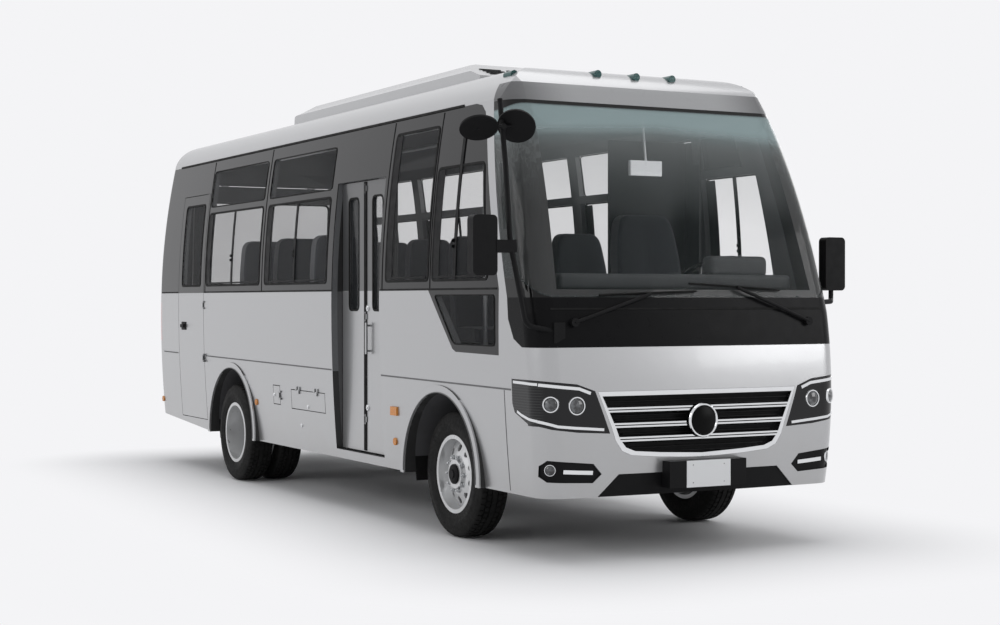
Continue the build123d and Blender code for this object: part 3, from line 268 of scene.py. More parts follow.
def surface(lay_out):
    """Turns a function that lays out nodes into one that makes and keeps a named material."""

    def make(name, *values, **settings):
        finish = Finish(name)
        lay_out(finish, *values, **settings)
        FINISHES[name] = finish.material

    return make


@surface
def grained(
    finish, base, roughness=0.5, grain=900, depth=0.25, metallic=0.0, mottle=0.15, dust=0.0, shine=0.25
):
    """Moulded, cast or painted surface with grain, mottling and road dust low down."""
    tone = finish.mottled(finish.noise(3.5, 4), base, 1 - mottle, 1 + mottle)
    if dust:
        low = finish.span(finish.axes()[2], 0.1, 0.9, dust, 0.0)
        patch = low * finish.span(finish.noise(9, 5), 0.35, 0.7)
        tone = finish.mix(patch, tone, (0.30, 0.28, 0.25))
    finish.set(Base_Color=tone, Metallic=metallic, Specular_IOR_Level=shine)
    finish.worn(roughness * 0.85, min(1.0, roughness * 1.15), 20, 4)
    finish.bump(finish.noise(grain, 2), depth, 0.0006)


@surface
def body_paint(finish, paint, lining, dark_above=9.0):
    """Silver flake under lacquer outside, plain trim on the faces that look inwards; those low down are
    painted near-black as shade.
    """
    tone = finish.mottled(finish.span(finish.cells(1400), 0.1, 0.6), paint, 1.06, 0.92)
    tone = finish.mix(finish.span(finish.noise(1.6, 3), 0.3, 0.7, 0.0, 0.25), tone, shade(paint, 0.94))
    x, y, z = finish.axes()
    film = finish.span(z, 0.35, 0.8, 0.28, 0.0) * finish.span(finish.noise(5, 5), 0.3, 0.75)
    tone = finish.mix(film, tone, (0.36, 0.35, 0.33))
    # how far a face looks away from the middle of the saloon
    rear_end, front_end, mid_height = -3.2, 2.85, 1.6
    to_x, to_y, to_z = finish.facing()
    past_ends = x - ((x | rear_end) & front_end)
    outward = to_x * (past_ends * 4.0) + to_y * y + to_z * (z - mid_height)
    # the frame that the windscreen is bonded to
    foot_x, foot_z, lean, mid_z, half_height = 3.104, 1.455, -0.3128, 2.0225, 0.5655
    ahead = x > (z - foot_z) * lean + foot_x
    screen_frame = ahead * (abs(z - mid_z) < half_height)
    inside = (outward < 0.25) | screen_frame
    for axle_x, radius in ARCHES:
        inside = inside | (finish.reach(x - axle_x, z - AXLE_Z) < radius)
    # hinge knuckles stand outside the flank and keep the paint
    flank_y, hatch_top_z, dark_below_z, soft_edge = 1.0225, 0.85, 0.95, 0.004
    knuckle = (abs(y) > flank_y) * (z < hatch_top_z)
    inside = inside * (1.0 - knuckle)
    trim = finish.mottled(finish.noise(60), lining, 0.9, 1.1)
    # painted shade: faces that look inwards below dark_below_z, in the wheel arches and under the body, go
    # near-black; the frame behind the windscreen is black too
    trim = finish.mix(screen_frame | (z < dark_below_z), trim, grey(0.010))
    tone = finish.mix(finish.span(z, dark_above, dark_above + soft_edge), tone, (0.05, 0.051, 0.053))
    plain = inside | (z > dark_above)
    finish.set(
        Base_Color=finish.mix(inside, tone, trim), Metallic=(1.0 - plain) * 0.72,
        Roughness=finish.mix(inside, grey(0.30), grey(0.8)), Coat_Weight=0.35, Coat_Roughness=0.05,
    )
    finish.bump(finish.noise(1.2, 1) * 2.0 + finish.noise(700, 2) * 0.02, 0.12, 0.01)


def within(finish, x, z, limits):
    """1 inside one window opening, 0 outside, with a soft edge a few millimetres wide."""
    x0, x1, z0, z1, lean_rear, lean_front = limits
    up = z - z0
    foot = x0 - min(0.0, lean_rear) * (z1 - z0)
    rear, front = x - (up * lean_rear + foot), up * -lean_front + x1 - x
    return finish.span(rear & front & up & (z1 - z), -0.002, 0.002)


@surface
def band_glass(finish, tint, band):
    """Tinted glass in the openings and painted glass between them."""
    x, y, z = finish.axes()
    partition_x, left = 2.1, y > 0.0
    clear = 0.0
    for limits in SHARED_WINDOWS:
        clear = within(finish, x, z, limits) | clear
    for windows, here in ((LEFT_WINDOWS, left), (RIGHT_WINDOWS, 1.0 - left)):
        for limits in windows:
            clear = clear | within(finish, x, z, limits) * here
    film = finish.noise(2.2, 3)
    painted, tinted = finish.mottled(film, band, 0.85, 1.2), finish.mottled(film, tint, 0.9, 1.15)
    see = finish.span(left * (x > partition_x), 0, 1, 0.13, 0.05)
    finish.set(
        Base_Color=finish.mix(clear, painted, tinted), Alpha=finish.mix(clear, grey(1.0), see),
        IOR=1.5, Specular_IOR_Level=0.30,
    )
    finish.worn(0.03, 0.08, 14, 4)
    finish.bump(finish.noise(1.4, 1), 0.06, 0.01)


@surface
def pane_glass(finish, tint, alpha):
    """Clear or tinted pane with faint waviness."""
    see = finish.span(finish.noise(3.0), 0.2, 0.8, alpha - 0.02, alpha + 0.02)
    finish.set(Base_Color=finish.mottled(finish.noise(2.0), tint, 0.9, 1.1), Alpha=see, IOR=1.5)
    finish.worn(0.02, 0.06, 14, 4)
    finish.bump(finish.noise(1.4, 1), 0.05, 0.01)


@surface
def screen_glass(finish, tint, sun_band):
    """Windscreen: painted border with round corners, clear middle, a painted reflection that turns the glass
    lighter towards the top, and a tinted strip at the top.
    """
    _, y, z = finish.axes()
    corner, soft, middle_z, half_height = 0.14, 0.006, 2.013, 0.551
    half_width = z * -0.045 + 1.105
    reach = finish.outside(y, half_width - corner, z - middle_z, half_height - corner)
    clear = finish.span(reach, corner - soft, corner + soft, 1.0, 0.0)
    strip = finish.span(abs(y) * 0.05 + z, 2.34, 2.50, kind="SMOOTHSTEP")
    # painted reflection: the glass turns lighter grey and less clear towards the top
    painted_reflection = finish.span(finish.noise(1.3, 2) * 0.3 + z, 2.05, 2.65)
    glass = finish.mix(strip, finish.mix(painted_reflection, tint, (0.42, 0.45, 0.45)), sun_band)
    see = finish.span(painted_reflection, 0, 1, 0.06, 0.26) | finish.span(strip, 0, 1, 0.0, 0.50)
    finish.set(
        Base_Color=finish.mix(clear, grey(0.006), glass), Alpha=finish.mix(clear, grey(1.0), see),
        IOR=1.5, Specular_IOR_Level=0.22,
    )
    finish.worn(0.02, 0.05, 9, 4)
    finish.bump(finish.noise(1.1, 1), 0.05, 0.01)


@surface
def polished(finish, base, roughness=0.12):
    """Bright metal with fine scratches."""
    scratch = finish.noise(300, 3, finish.stretched((1, 1, 12)))
    rough = finish.span(scratch, 0.3, 0.7, roughness * 0.7, roughness * 1.5)
    finish.set(Base_Color=finish.mottled(finish.noise(6), base, 0.93, 1.05), Roughness=rough, Metallic=1.0)
    finish.bump(scratch, 0.03, 0.0004)


@surface
def lens(finish, base, ribs=90.0):
    """Ribbed lamp lens."""
    rib = finish.wave(finish.axes()[2] * (ribs * math.tau))
    finish.set(Base_Color=finish.mottled(finish.span(rib, -1, 1), base, 0.75, 1.1))
    finish.set(IOR=1.49, Coat_Weight=1.0, Coat_Roughness=0.03)
    finish.worn(0.08, 0.16, 30)
    finish.bump(rib, 0.35, 0.0015)


@surface
def surround(finish):
    """Black mask below the windscreen, grey header above it that darkens towards its sides as painted shade.
    """
    _, y, z = finish.axes()
    # painted shade: the header is lighter in the middle and darker towards its sides
    edge = finish.span(abs(y), 0.45, 1.0, kind="SMOOTHSTEP")
    header = finish.mix(edge, (0.37, 0.373, 0.38), (0.13, 0.131, 0.134))
    black = finish.mix(finish.noise(4.0), (0.0045, 0.0045, 0.005), (0.006, 0.006, 0.0065))
    finish.set(Base_Color=finish.mix(finish.span(z, 2.3, 2.32), black, header), Specular_IOR_Level=0.06)
    finish.worn(0.26, 0.34, 16, 3)
    finish.bump(finish.noise(500, 2), 0.02, 0.0004)


@surface
def dark_lens(finish):
    """Deep projector lens: black, with a grey gleam in noisy patches."""
    gleam = finish.span(finish.noise(26, 2), 0.45, 0.75)
    finish.set(Base_Color=finish.mix(gleam, (0.012, 0.012, 0.014), (0.20, 0.21, 0.22)))
    finish.set(IOR=1.6, Specular_IOR_Level=0.6)
    finish.worn(0.04, 0.10, 40)


@surface
def marker_lens(finish):
    """Amber lenses low on the sides, green ones on the roof."""
    x, _, z = finish.axes()
    ring = finish.wave((x + z) * 700.0)
    bright = finish.span(ring, -1, 1)
    amber = finish.mix(bright, (0.42, 0.13, 0.012), (0.72, 0.28, 0.03))
    green = finish.mix(bright, (0.004, 0.035, 0.034), (0.012, 0.095, 0.09))
    finish.set(Base_Color=finish.mix(z > 2.0, amber, green), Specular_IOR_Level=0.4)
    finish.worn(0.08, 0.18, 30)
    finish.bump(ring, 0.3, 0.001)


@surface
def cloth(finish, base):
    """Woven seat cloth with a fine light speck."""
    x, y, z = finish.axes()
    threads = 2600.0
    weave = finish.wave((x + z) * threads) * finish.wave(y * threads)
    tone = finish.mottled(finish.span(weave, -1, 1), base, 0.75, 1.25)
    speck = finish.span(finish.cells(55), 0.05, 0.30)
    finish.set(Base_Color=finish.mix(speck, shade(base, 2.1), tone), Sheen_Weight=0.35, Sheen_Roughness=0.5)
    finish.worn(0.85, 0.98, 40)
    finish.bump(weave, 0.5, 0.0008)


@surface
def tyre_rubber(finish, centre_x):
    """Black rubber: fine sipes on the tread, fine rings on the wall, dust in the grain."""
    x, _, z = finish.axes()
    along, up = x - centre_x, z - AXLE_Z
    radius = finish.reach(along, up)
    sipes = finish.wave(finish.math("ARCTAN2", up, along) * 240.0)
    rings = finish.wave(radius * 1500.0)
    tread = radius > 0.372
    relief = sipes * tread + rings * (1.0 - tread) * 0.35 + finish.noise(1200, 2) * 0.4
    dust = finish.span(finish.noise(12, 5), 0.35, 0.75)
    finish.set(Base_Color=finish.mix(dust, grey(0.005), (0.013, 0.0125, 0.012)), Specular_IOR_Level=0.18)
    finish.worn(0.62, 0.85, 60, 3)
    finish.bump(relief, 0.3, 0.0012)


@surface
def tread_plate(finish):
    """Raised-bar step metal on the level faces; the upright faces are painted dark as shade of the door
    recess.
    """
    x, y, z = finish.axes()
    crossed = finish.wave((x + y) * 210.0) * finish.wave((x - y) * 210.0)
    bars = finish.span(crossed, 0.2, 0.7)
    level = abs(finish.facing()[2]) > 0.5
    # painted shade of the door recess on the upright faces: dark grey below the belt, black above it
    painted_recess_shade = finish.mix(z > BELT_Z, (0.055, 0.055, 0.057), grey(0.006))
    plate = finish.mix(bars, (0.30, 0.30, 0.31), (0.55, 0.55, 0.56))
    finish.set(Base_Color=finish.mix(level, painted_recess_shade, plate), Metallic=level * 0.9)
    finish.worn(0.3, 0.5, 30, 4)
    finish.bump(bars, 0.5, 0.0015)


@surface
def lamp_housing(finish):
    """Black lamp bowl with fine level ribs."""
    _, y, z = finish.axes()
    ribs = finish.wave(z * 420.0)
    lit = finish.span(ribs, 0.2, 0.9) * finish.span(abs(y), 0.98, 1.0)
    finish.set(Base_Color=finish.mix(lit, (0.007, 0.007, 0.008), (0.030, 0.031, 0.032)))
    finish.set(Specular_IOR_Level=0.3)
    finish.worn(0.05, 0.1, 20)
    finish.bump(ribs, 0.15, 0.001)


def make_finishes(chosen):
    """Every surface of the minibus."""
    body_paint("paint", chosen.paint, chosen.lining)
    body_paint("leaf_paint", chosen.paint, chosen.lining, BELT_Z)
    body_paint("unit_paint", shade(chosen.paint, 1.04), chosen.paint)
    band_glass("band_glass", chosen.glass, chosen.band)
    pane_glass("door_glass", chosen.glass, 0.30)
    screen_glass("screen_glass", (0.10, 0.12, 0.12), chosen.screen_band)
    surround("surround")
    lamp_housing("lamp_housing")
    dark_lens("dark_lens")
    marker_lens("marker_lens")
    lens("red_lens", (0.42, 0.012, 0.012))
    lens("amber_lens", (0.80, 0.30, 0.03))
    lens("white_lens", (0.70, 0.72, 0.74))
    polished("chrome", (0.72, 0.73, 0.74), 0.10)
    polished("satin_metal", (0.50, 0.51, 0.52), 0.30)
    polished("mirror_glass", (0.75, 0.77, 0.78), 0.02)
    grained("gloss_black", grey(0.005), 0.3, 500, 0.02, shine=0.05)
    # dark grey of the waist line is painted shade of its pressed crease; the nose joint and arch edges are
    # dark lines
    grained("groove", (0.13, 0.131, 0.134), 0.6, 400, 0.1)
    grained("moulded_black", (0.006, 0.006, 0.0065), 0.5, 1100, 0.35, shine=0.1)
    grained("rubber", grey(0.006), 0.7, 700, 0.2, shine=0.15)
    grained("plate", (0.70, 0.71, 0.72), 0.35, 600, 0.03, mottle=0.03)
    grained("chassis", (0.010, 0.010, 0.0105), 0.6, 300, 0.4, dust=0.15)
    grained("cast", (0.030, 0.030, 0.031), 0.65, 260, 0.6, metallic=0.5, dust=0.2)
    grained("vinyl", (0.06, 0.06, 0.063), 0.6, 1500, 0.3, mottle=0.25)
    grained("tank", (0.30, 0.30, 0.31), 0.45, 500, 0.2, metallic=0.7, dust=0.4)
    grained("wheel_paint", (0.60, 0.605, 0.61), 0.32, 700, 0.06, 0.6, dust=0.15, shine=0.5)
    grained("dash", (0.045, 0.048, 0.050), 0.6, 900, 0.4)
    tread_plate("steps")
    cloth("cloth", chosen.seat)
    tyre_rubber("front_tyre", FRONT_AXLE_X)
    tyre_rubber("rear_tyre", REAR_AXLE_X)


NODE_FINISH = {
    "paint": (
        "side_wall_right", "side_wall_left", "roof_panel", "nose_panel", "tail_panel", "rear_bumper",
        "rear_door", "tailgate", "fuel_flap", "battery_hatch",
    ),
    "leaf_paint": ("entry_leaf_rear", "entry_leaf_front"),
    "unit_paint": ("roof_unit",),
    "band_glass": ("side_glass", "rear_door_glass"),
    "door_glass": ("entry_glass_rear", "entry_glass_front", "tailgate_glass"),
    "screen_glass": ("windscreen",),
    "surround": ("screen_surround",),
    "lamp_housing": ("headlamps",),
    "moulded_black": ("nose_trim", "mirrors", "wipers", "steering_wheel"),
    "chrome": ("grille_bars",),
    "plate": ("number_plates",),
    "red_lens": ("tail_lamps",),
    "marker_lens": ("marker_lamps",),
    "vinyl": ("floor",),
    "steps": ("entrance_well",),
    "dash": ("engine_cover", "dashboard"),
    "chassis": ("chassis_frame",),
    "cast": (
        "engine_block", "propeller_shaft", "exhaust", "leaf_springs", "front_axle", "rear_axle",
        "knuckle_left", "knuckle_right",
    ),
    "tank": ("fuel_tank",),
    "rubber": ("mud_flaps",),
    "satin_metal": ("cabin_rails",),
    "wheel_paint": ("rim_front_left", "rim_front_right", "rims_rear_left", "rims_rear_right"),
    "front_tyre": ("tyre_front_left", "tyre_front_right"),
    "rear_tyre": ("tyres_rear_left", "tyres_rear_right"),
    "cloth": ("driver_seat", "passenger_seats"),
}
# material slot named for each finish; mount looks it up but gives it to no piece
SLOTS = {
    "moulded_black": "black_plastic", "gloss_black": "black_gloss", "rubber": "rubber", "chrome": "chrome",
    "satin_metal": "chrome", "mirror_glass": "chrome", "dark_lens": "lamp_lens", "red_lens": "red_lens",
    "amber_lens": "red_lens", "white_lens": "red_lens", "dash": "dash_grey", "chassis": "frame_black",
    "cloth": "seat_fabric", "front_tyre": "tyre", "rear_tyre": "tyre",
}


# ---------------------------------------------------------------- modelling helpers
def look():
    """The scene's own sizes and colours."""
    return bpy.context.scene.minibus_look


def deselect():
    """Leaves edit mode with nothing selected."""
    if bpy.context.object and bpy.context.object.mode != "OBJECT":
        bpy.ops.object.mode_set(mode="OBJECT")
    bpy.ops.object.select_all(action="DESELECT")


def pick(*pieces):
    """Selects pieces, the last one active."""
    deselect()
    for piece in pieces:
        piece.select_set(True)
    bpy.context.view_layer.objects.active = pieces[-1]


def named(name):
    """Names the primitive just added."""
    piece = bpy.context.object
    piece.name = piece.data.name = name
    return piece


def outline(name, points, filled=True):
    """Flat closed outline through the points, ready to extrude or spin."""
    deselect()
    fill = "NGON" if filled else "NOTHING"
    bpy.ops.mesh.primitive_circle_add(vertices=len(points), fill_type=fill)
    piece = named(name)
    for vertex, point in zip(piece.data.vertices, points):
        vertex.co = point
    return piece


def all_in_edit(piece):
    """Edit mode on one piece with everything selected."""
    pick(piece)
    bpy.ops.object.mode_set(mode="EDIT")
    bpy.ops.mesh.select_all(action="SELECT")


def tidy(piece):
    """Merges doubles and turns every face outwards."""
    all_in_edit(piece)
    bpy.ops.mesh.remove_doubles(threshold=0.00002)
    bpy.ops.mesh.normals_make_consistent(inside=False)
    bpy.ops.object.mode_set(mode="OBJECT")


def spun(name, profile, centre, turn=0.0, steps=48):
    """Closed ring or disc about a level axis, turned from X; the profile is (radius, height)."""
    along = Vector((math.cos(turn), math.sin(turn), 0))
    across = Vector((-math.sin(turn), math.cos(turn), 0))
    points = [tuple(Vector(centre) + along * height + across * radius) for radius, height in profile]
    piece = outline(name, points, filled=False)
    all_in_edit(piece)
    bpy.ops.mesh.spin(steps=steps, angle=math.tau, center=tuple(centre), axis=tuple(along))
    tidy(piece)
    return piece


def extruded(name, points, travel):
    """Straight solid of a flat outline."""
    piece = outline(name, points)
    all_in_edit(piece)
    bpy.ops.mesh.extrude_region_move(TRANSFORM_OT_translate={"value": travel})
    tidy(piece)
    return piece


def slab(name, low, high):
    """Box between two corners."""
    deselect()
    middle = [(a + b) / 2 for a, b in zip(low, high)]
    bpy.ops.mesh.primitive_cube_add(size=1, location=middle)
    piece = named(name)
    piece.scale = [b - a for a, b in zip(low, high)]
    bpy.ops.object.transform_apply(location=True, rotation=True, scale=True)
    return piece


def drum(name, centre, radius, depth, axis="Y", sides=32):
    """Round boss along X, Y or Z."""
    deselect()
    turn = {"X": (0, SIDEWAYS, 0), "Y": (SIDEWAYS, 0, 0), "Z": (0, 0, 0)}[axis]
    bpy.ops.mesh.primitive_cylinder_add(
        vertices=sides, radius=radius, depth=depth, location=centre, rotation=turn
    )
    piece = named(name)
    bpy.ops.object.transform_apply(location=True, rotation=True, scale=True)
    return piece


def copied(piece, name, shift):
    """Copy with its own mesh, moved."""
    twin = piece.copy()
    twin.data = piece.data.copy()
    twin.name = twin.data.name = name
    bpy.context.collection.objects.link(twin)
    for vertex in twin.data.vertices:
        vertex.co += Vector(shift)
    return twin


def modify(piece, kind, **settings):
    """Adds a modifier and applies it."""
    pick(piece)
    change = piece.modifiers.new(kind.title(), kind)
    for key, value in settings.items():
        setattr(change, key, value)
    bpy.ops.object.modifier_apply(modifier=change.name)


def mount(name, pieces, finish, body="body", slot="", edge=0.0, smooth=35, segments=2):
    """Joins solids into one named piece, rounds its edges, smooths, paints and carries it."""
    pick(*pieces)
    if len(pieces) > 1:
        bpy.ops.object.join()
    piece = named(name)
    if edge:
        angle = math.radians(40)
        modify(piece, "BEVEL", width=edge, segments=segments, limit_method="ANGLE", angle_limit=angle)
    pick(piece)
    bpy.ops.object.shade_smooth_by_angle(angle=math.radians(smooth))
    piece.data.materials.clear()
    piece.data.materials.append(FINISHES[finish])
    slot = slot or SLOTS[finish]
    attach(piece, body)
    return piece


# each view: the axes of its two flat coordinates, the axis looked along and the side looked from
VIEWS = {
    "right": (0, 2, 1, -1), "left": (0, 2, 1, 1), "nose": (1, 2, 0, 1), "tail": (1, 2, 0, -1),
    "top": (0, 1, 2, 1),
}


def on_skin(nodes, view, a, b, lift=0.0):
    """Point of the nodes' outer surface seen square on, raised by lift."""
    first, second, depth, sign = VIEWS[view]
    direction, start, best = Vector((0, 0, 0)), Vector((0, 0, 0)), None
    direction[depth], start[depth] = -sign, 6.0 * sign
    for nudge in (0.0, 0.0003, -0.0003):
        start[first], start[second] = a + nudge, b + nudge
        for node in nodes:
            hit, place, _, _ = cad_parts[node].ray_cast(start, direction)
            if hit and (best is None or (place - start).length < (best - start).length):
                best = place
        if best is not None:
            return best - direction * lift
    raise RuntimeError(f"nothing of {nodes} lies under {view} {a:.3f} {b:.3f}")


def skin_turn(nodes, y, z):
    """How far the skin of the front end is turned towards the side at a point."""
    reach = 0.02
    rise = on_skin(nodes, "nose", y + reach, z).x - on_skin(nodes, "nose", y - reach, z).x
    return math.atan2(-rise, 2 * reach)


def densified(path, step):
    """Path with extra points so that no run is longer than step."""
    points = [Vector(path[0])]
    for first, second in zip(path, path[1:]):
        first, second = Vector(first), Vector(second)
        count = max(1, math.ceil((second - first).length / step))
        points += [first.lerp(second, (index + 1) / count) for index in range(count)]
    return points


def strip(path, width, view, nodes, lift=0.001, thickness=0.004, step=0.08):
    """Band of even width laid on the skin along a path of flat points."""
    points = densified(path, step)
    count, closed = len(points), (points[0] - points[-1]).length < 1e-6
    deselect()
    bpy.ops.mesh.primitive_grid_add(x_subdivisions=count - 1, y_subdivisions=1, size=1)
    piece = named("strip")
    for index, point in enumerate(points):
        before = points[index - 1] if index else (points[-2] if closed else point)
        after = points[index + 1] if index + 1 < count else (points[1] if closed else point)
        along = (after - before).normalized()
        across = Vector((-along.y, along.x)) * width / 2
        for row, flat in enumerate((point - across, point + across)):
            piece.data.vertices[row * count + index].co = on_skin(nodes, view, flat.x, flat.y, lift)
    modify(piece, "SOLIDIFY", thickness=thickness, offset=0)
    tidy(piece)
    return piece


def rounded_loop(x0, x1, z0, z1, radius, lean_rear=0.0, lean_front=0.0):
    """Closed path of a window outline with rounded corners."""
    rise = z1 - z0
    corners = [
        Vector((x0 - min(0.0, lean_rear) * rise, z0)), Vector((x1, z0)),
        Vector((x1 - lean_front * rise, z1)), Vector((x0 + max(0.0, lean_rear) * rise, z1)),
    ]
    path = []
    for index, corner in enumerate(corners):
        before, after = corners[index - 1], corners[(index + 1) % 4]
        start = corner + (before - corner).normalized() * radius
        end = corner + (after - corner).normalized() * radius
        for part in range(5):
            t = part / 4
            path.append(start * (1 - t) ** 2 + corner * 2 * t * (1 - t) + end * t**2)
    return path + [path[0]]


def bar_along(name, points, radius):
    """Round bar through points on one smooth curve."""
    deselect()
    curve = bpy.data.curves.new(name, "CURVE")
    curve.dimensions = "3D"
    curve.bevel_depth, curve.bevel_resolution, curve.use_fill_caps = radius, 3, True
    spline = curve.splines.new("NURBS")
    spline.points.add(len(points) - 1)
    for knot, point in zip(spline.points, points):
        knot.co = (*point, 1)
    spline.order_u, spline.use_endpoint_u, spline.resolution_u = 3, True, 6
    piece = bpy.data.objects.new(name, curve)
    bpy.context.collection.objects.link(piece)
    pick(piece)
    bpy.ops.object.convert(target="MESH")
    piece = named(name)
    tidy(piece)
    return piece


# ---------------------------------------------------------------- operators
class MINIBUS_OT_surfaces(bpy.types.Operator):
    """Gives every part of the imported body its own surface"""

    bl_idname = "minibus.surfaces"
    bl_label = "Surfaces"

    def execute(self, context):
        make_finishes(look())
        for finish, nodes in NODE_FINISH.items():
            for node in nodes:
                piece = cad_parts[node]
                piece.data.materials.clear()
                piece.data.materials.append(FINISHES[finish])
        missing = set(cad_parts) - {node for nodes in NODE_FINISH.values() for node in nodes}
        if missing:
            raise RuntimeError(f"no surface for {sorted(missing)}")
        return {"FINISHED"}


class MINIBUS_OT_side_trim(bpy.types.Operator):
    """Window rubbers, sliding-pane bars, latches, gutter and seams of both sides"""

    bl_idname = "minibus.side_trim"
    bl_label = "Side trim"

    def execute(self, context):
        for side, name in SIDES:
            self.windows(side, name)
            self.seams(side, name)
            path = [(-3.44, CANT_Z + 0.004), (2.36, CANT_Z + 0.004)]
            gutter = strip(path, 0.016, name, ["roof_panel", "side_glass", "tail_panel"], 0.003, 0.006, 0.3)
            mount(f"gutter_{name}", [gutter], "rubber", edge=0.0015)
        return {"FINISHED"}

    def windows(self, side, name):
        """Rubber round every opening; bars and catches where the panes slide."""
        skin = ["side_glass"] + (["rear_door_glass", "rear_door"] if side < 0 else [])
        rubbers, bars, catches = [], [], []
        for x0, x1, z0, z1, rear, front in SHARED_WINDOWS + (LEFT_WINDOWS if side > 0 else RIGHT_WINDOWS):
            tall = z1 - z0 > 0.5
            width = look().window_rubber * (1.0 if tall else 0.5)
            loop = rounded_loop(x0, x1, z0, z1, 0.035, rear, front)
            rubber = strip(loop, width, name, skin, 0.0015, 0.004, 0.12)
            if x1 < -2.3 and side < 0:
                mount("rear_door_window_rubber", [rubber], "rubber", "rear_door")
                continue
            rubbers.append(rubber)
            if tall and x1 - x0 > 0.6 and z0 > BELT_Z:
                cab_split, edge_x = 2.44, x0 + 0.052
                split = (x0 + x1) / 2 if x1 < 2 else cab_split
                upright = [(split, z0 + 0.01), (split, z1 - 0.01)]
                frame_edge = [(edge_x, z0 + 0.012), (edge_x, z1 - 0.012)]
                sill = [(x0 + 0.03, z0 + 0.02), (x1 - 0.03, z0 + 0.02)]
                bars.append(strip(upright, 0.034, name, skin, 0.003, 0.006, 0.12))
                bars.append(strip(frame_edge, 0.085, name, skin, 0.001, 0.003, 0.12))
                bars.append(strip(sill, 0.012, name, skin, 0.002, 0.004, 0.3))
                half = Vector((0.012, 0.006, 0.010))
                for z in (z0 + 0.20, z0 + 0.235):
                    spot = on_skin(skin, name, split - 0.02, z, 0.008)
                    catches.append(slab("catch", spot - half, spot + half))
        mount(f"window_rubbers_{name}", rubbers, "rubber")
        mount(f"sliding_bars_{name}", bars, "moulded_black")
        mount(f"window_catches_{name}", catches, "moulded_black", edge=0.003)

    def seams(self, side, name):
        """Joints between the panes of the glass band, and along its foot."""
        cuts = (-2.255, -0.865, 0.485, 1.385, 2.10) if side > 0 else (-2.225, -0.865, 1.385, 2.10)
        spans = ((-3.42, -2.96), (-2.24, 0.515), (1.36, 2.98)) if side < 0 else ((-3.42, 2.98),)
        low, high, foot = BELT_Z + 0.01, CANT_Z - 0.012, BELT_Z + 0.006
        paths = [([(x, low), (x, high)], 0.008, 0.15) for x in cuts]
        paths += [([(x0, foot), (x1, foot)], 0.012, 0.25) for x0, x1 in spans]
        seams = [strip(path, width, name, ["side_glass"], 0.0012, 0.003, step) for path, width, step in paths]
        mount(f"glass_seams_{name}", seams, "rubber")


class MINIBUS_OT_body_trim(bpy.types.Operator):
    """Pressed waist line, a dark strip of painted shade, with its upright joint, and wheel-arch edges"""

    bl_idname = "minibus.body_trim"
    bl_label = "Body trim"

    def execute(self, context):
        for side, name in SIDES:
            wall = [f"side_wall_{name}", "nose_panel", "tail_panel", "rear_bumper"]
            runs = ((-3.38, -2.97), (-2.22, 0.515), (1.355, 3.13)) if side < 0 else ((-3.38, 3.13),)
            waist_mid, waist_fall = 0.9626, 0.0068
            paths = [([(x, waist_mid - waist_fall * x) for x in run], 0.010) for run in runs]
            nose_joint = [(3.05, 0.935), (3.06, SKIRT_Z)]
            paths.append((nose_joint, 0.005))
            lines = [strip(path, width, name, wall, 0.0005, 0.002, 0.12) for path, width in paths]
            # the waist line's dark grey strip is painted shade of the pressed crease
            mount(f"waist_line_{name}", lines, "groove", slot="body_silver")
            edges = []
            for axle_x, arch_radius in ARCHES:
                radius = arch_radius + 0.001
                low = math.asin((SKIRT_Z - AXLE_Z) / radius)
                angles = [low + (math.pi - 2 * low) * part / 40 for part in range(41)]
                path = [(axle_x + radius * math.cos(a), AXLE_Z + radius * math.sin(a)) for a in angles]
                edges.append(strip(path, 0.005, name, wall, 0.001, 0.004, 0.1))
            mount(f"arch_edges_{name}", edges, "groove", slot="rubber")
        return {"FINISHED"}


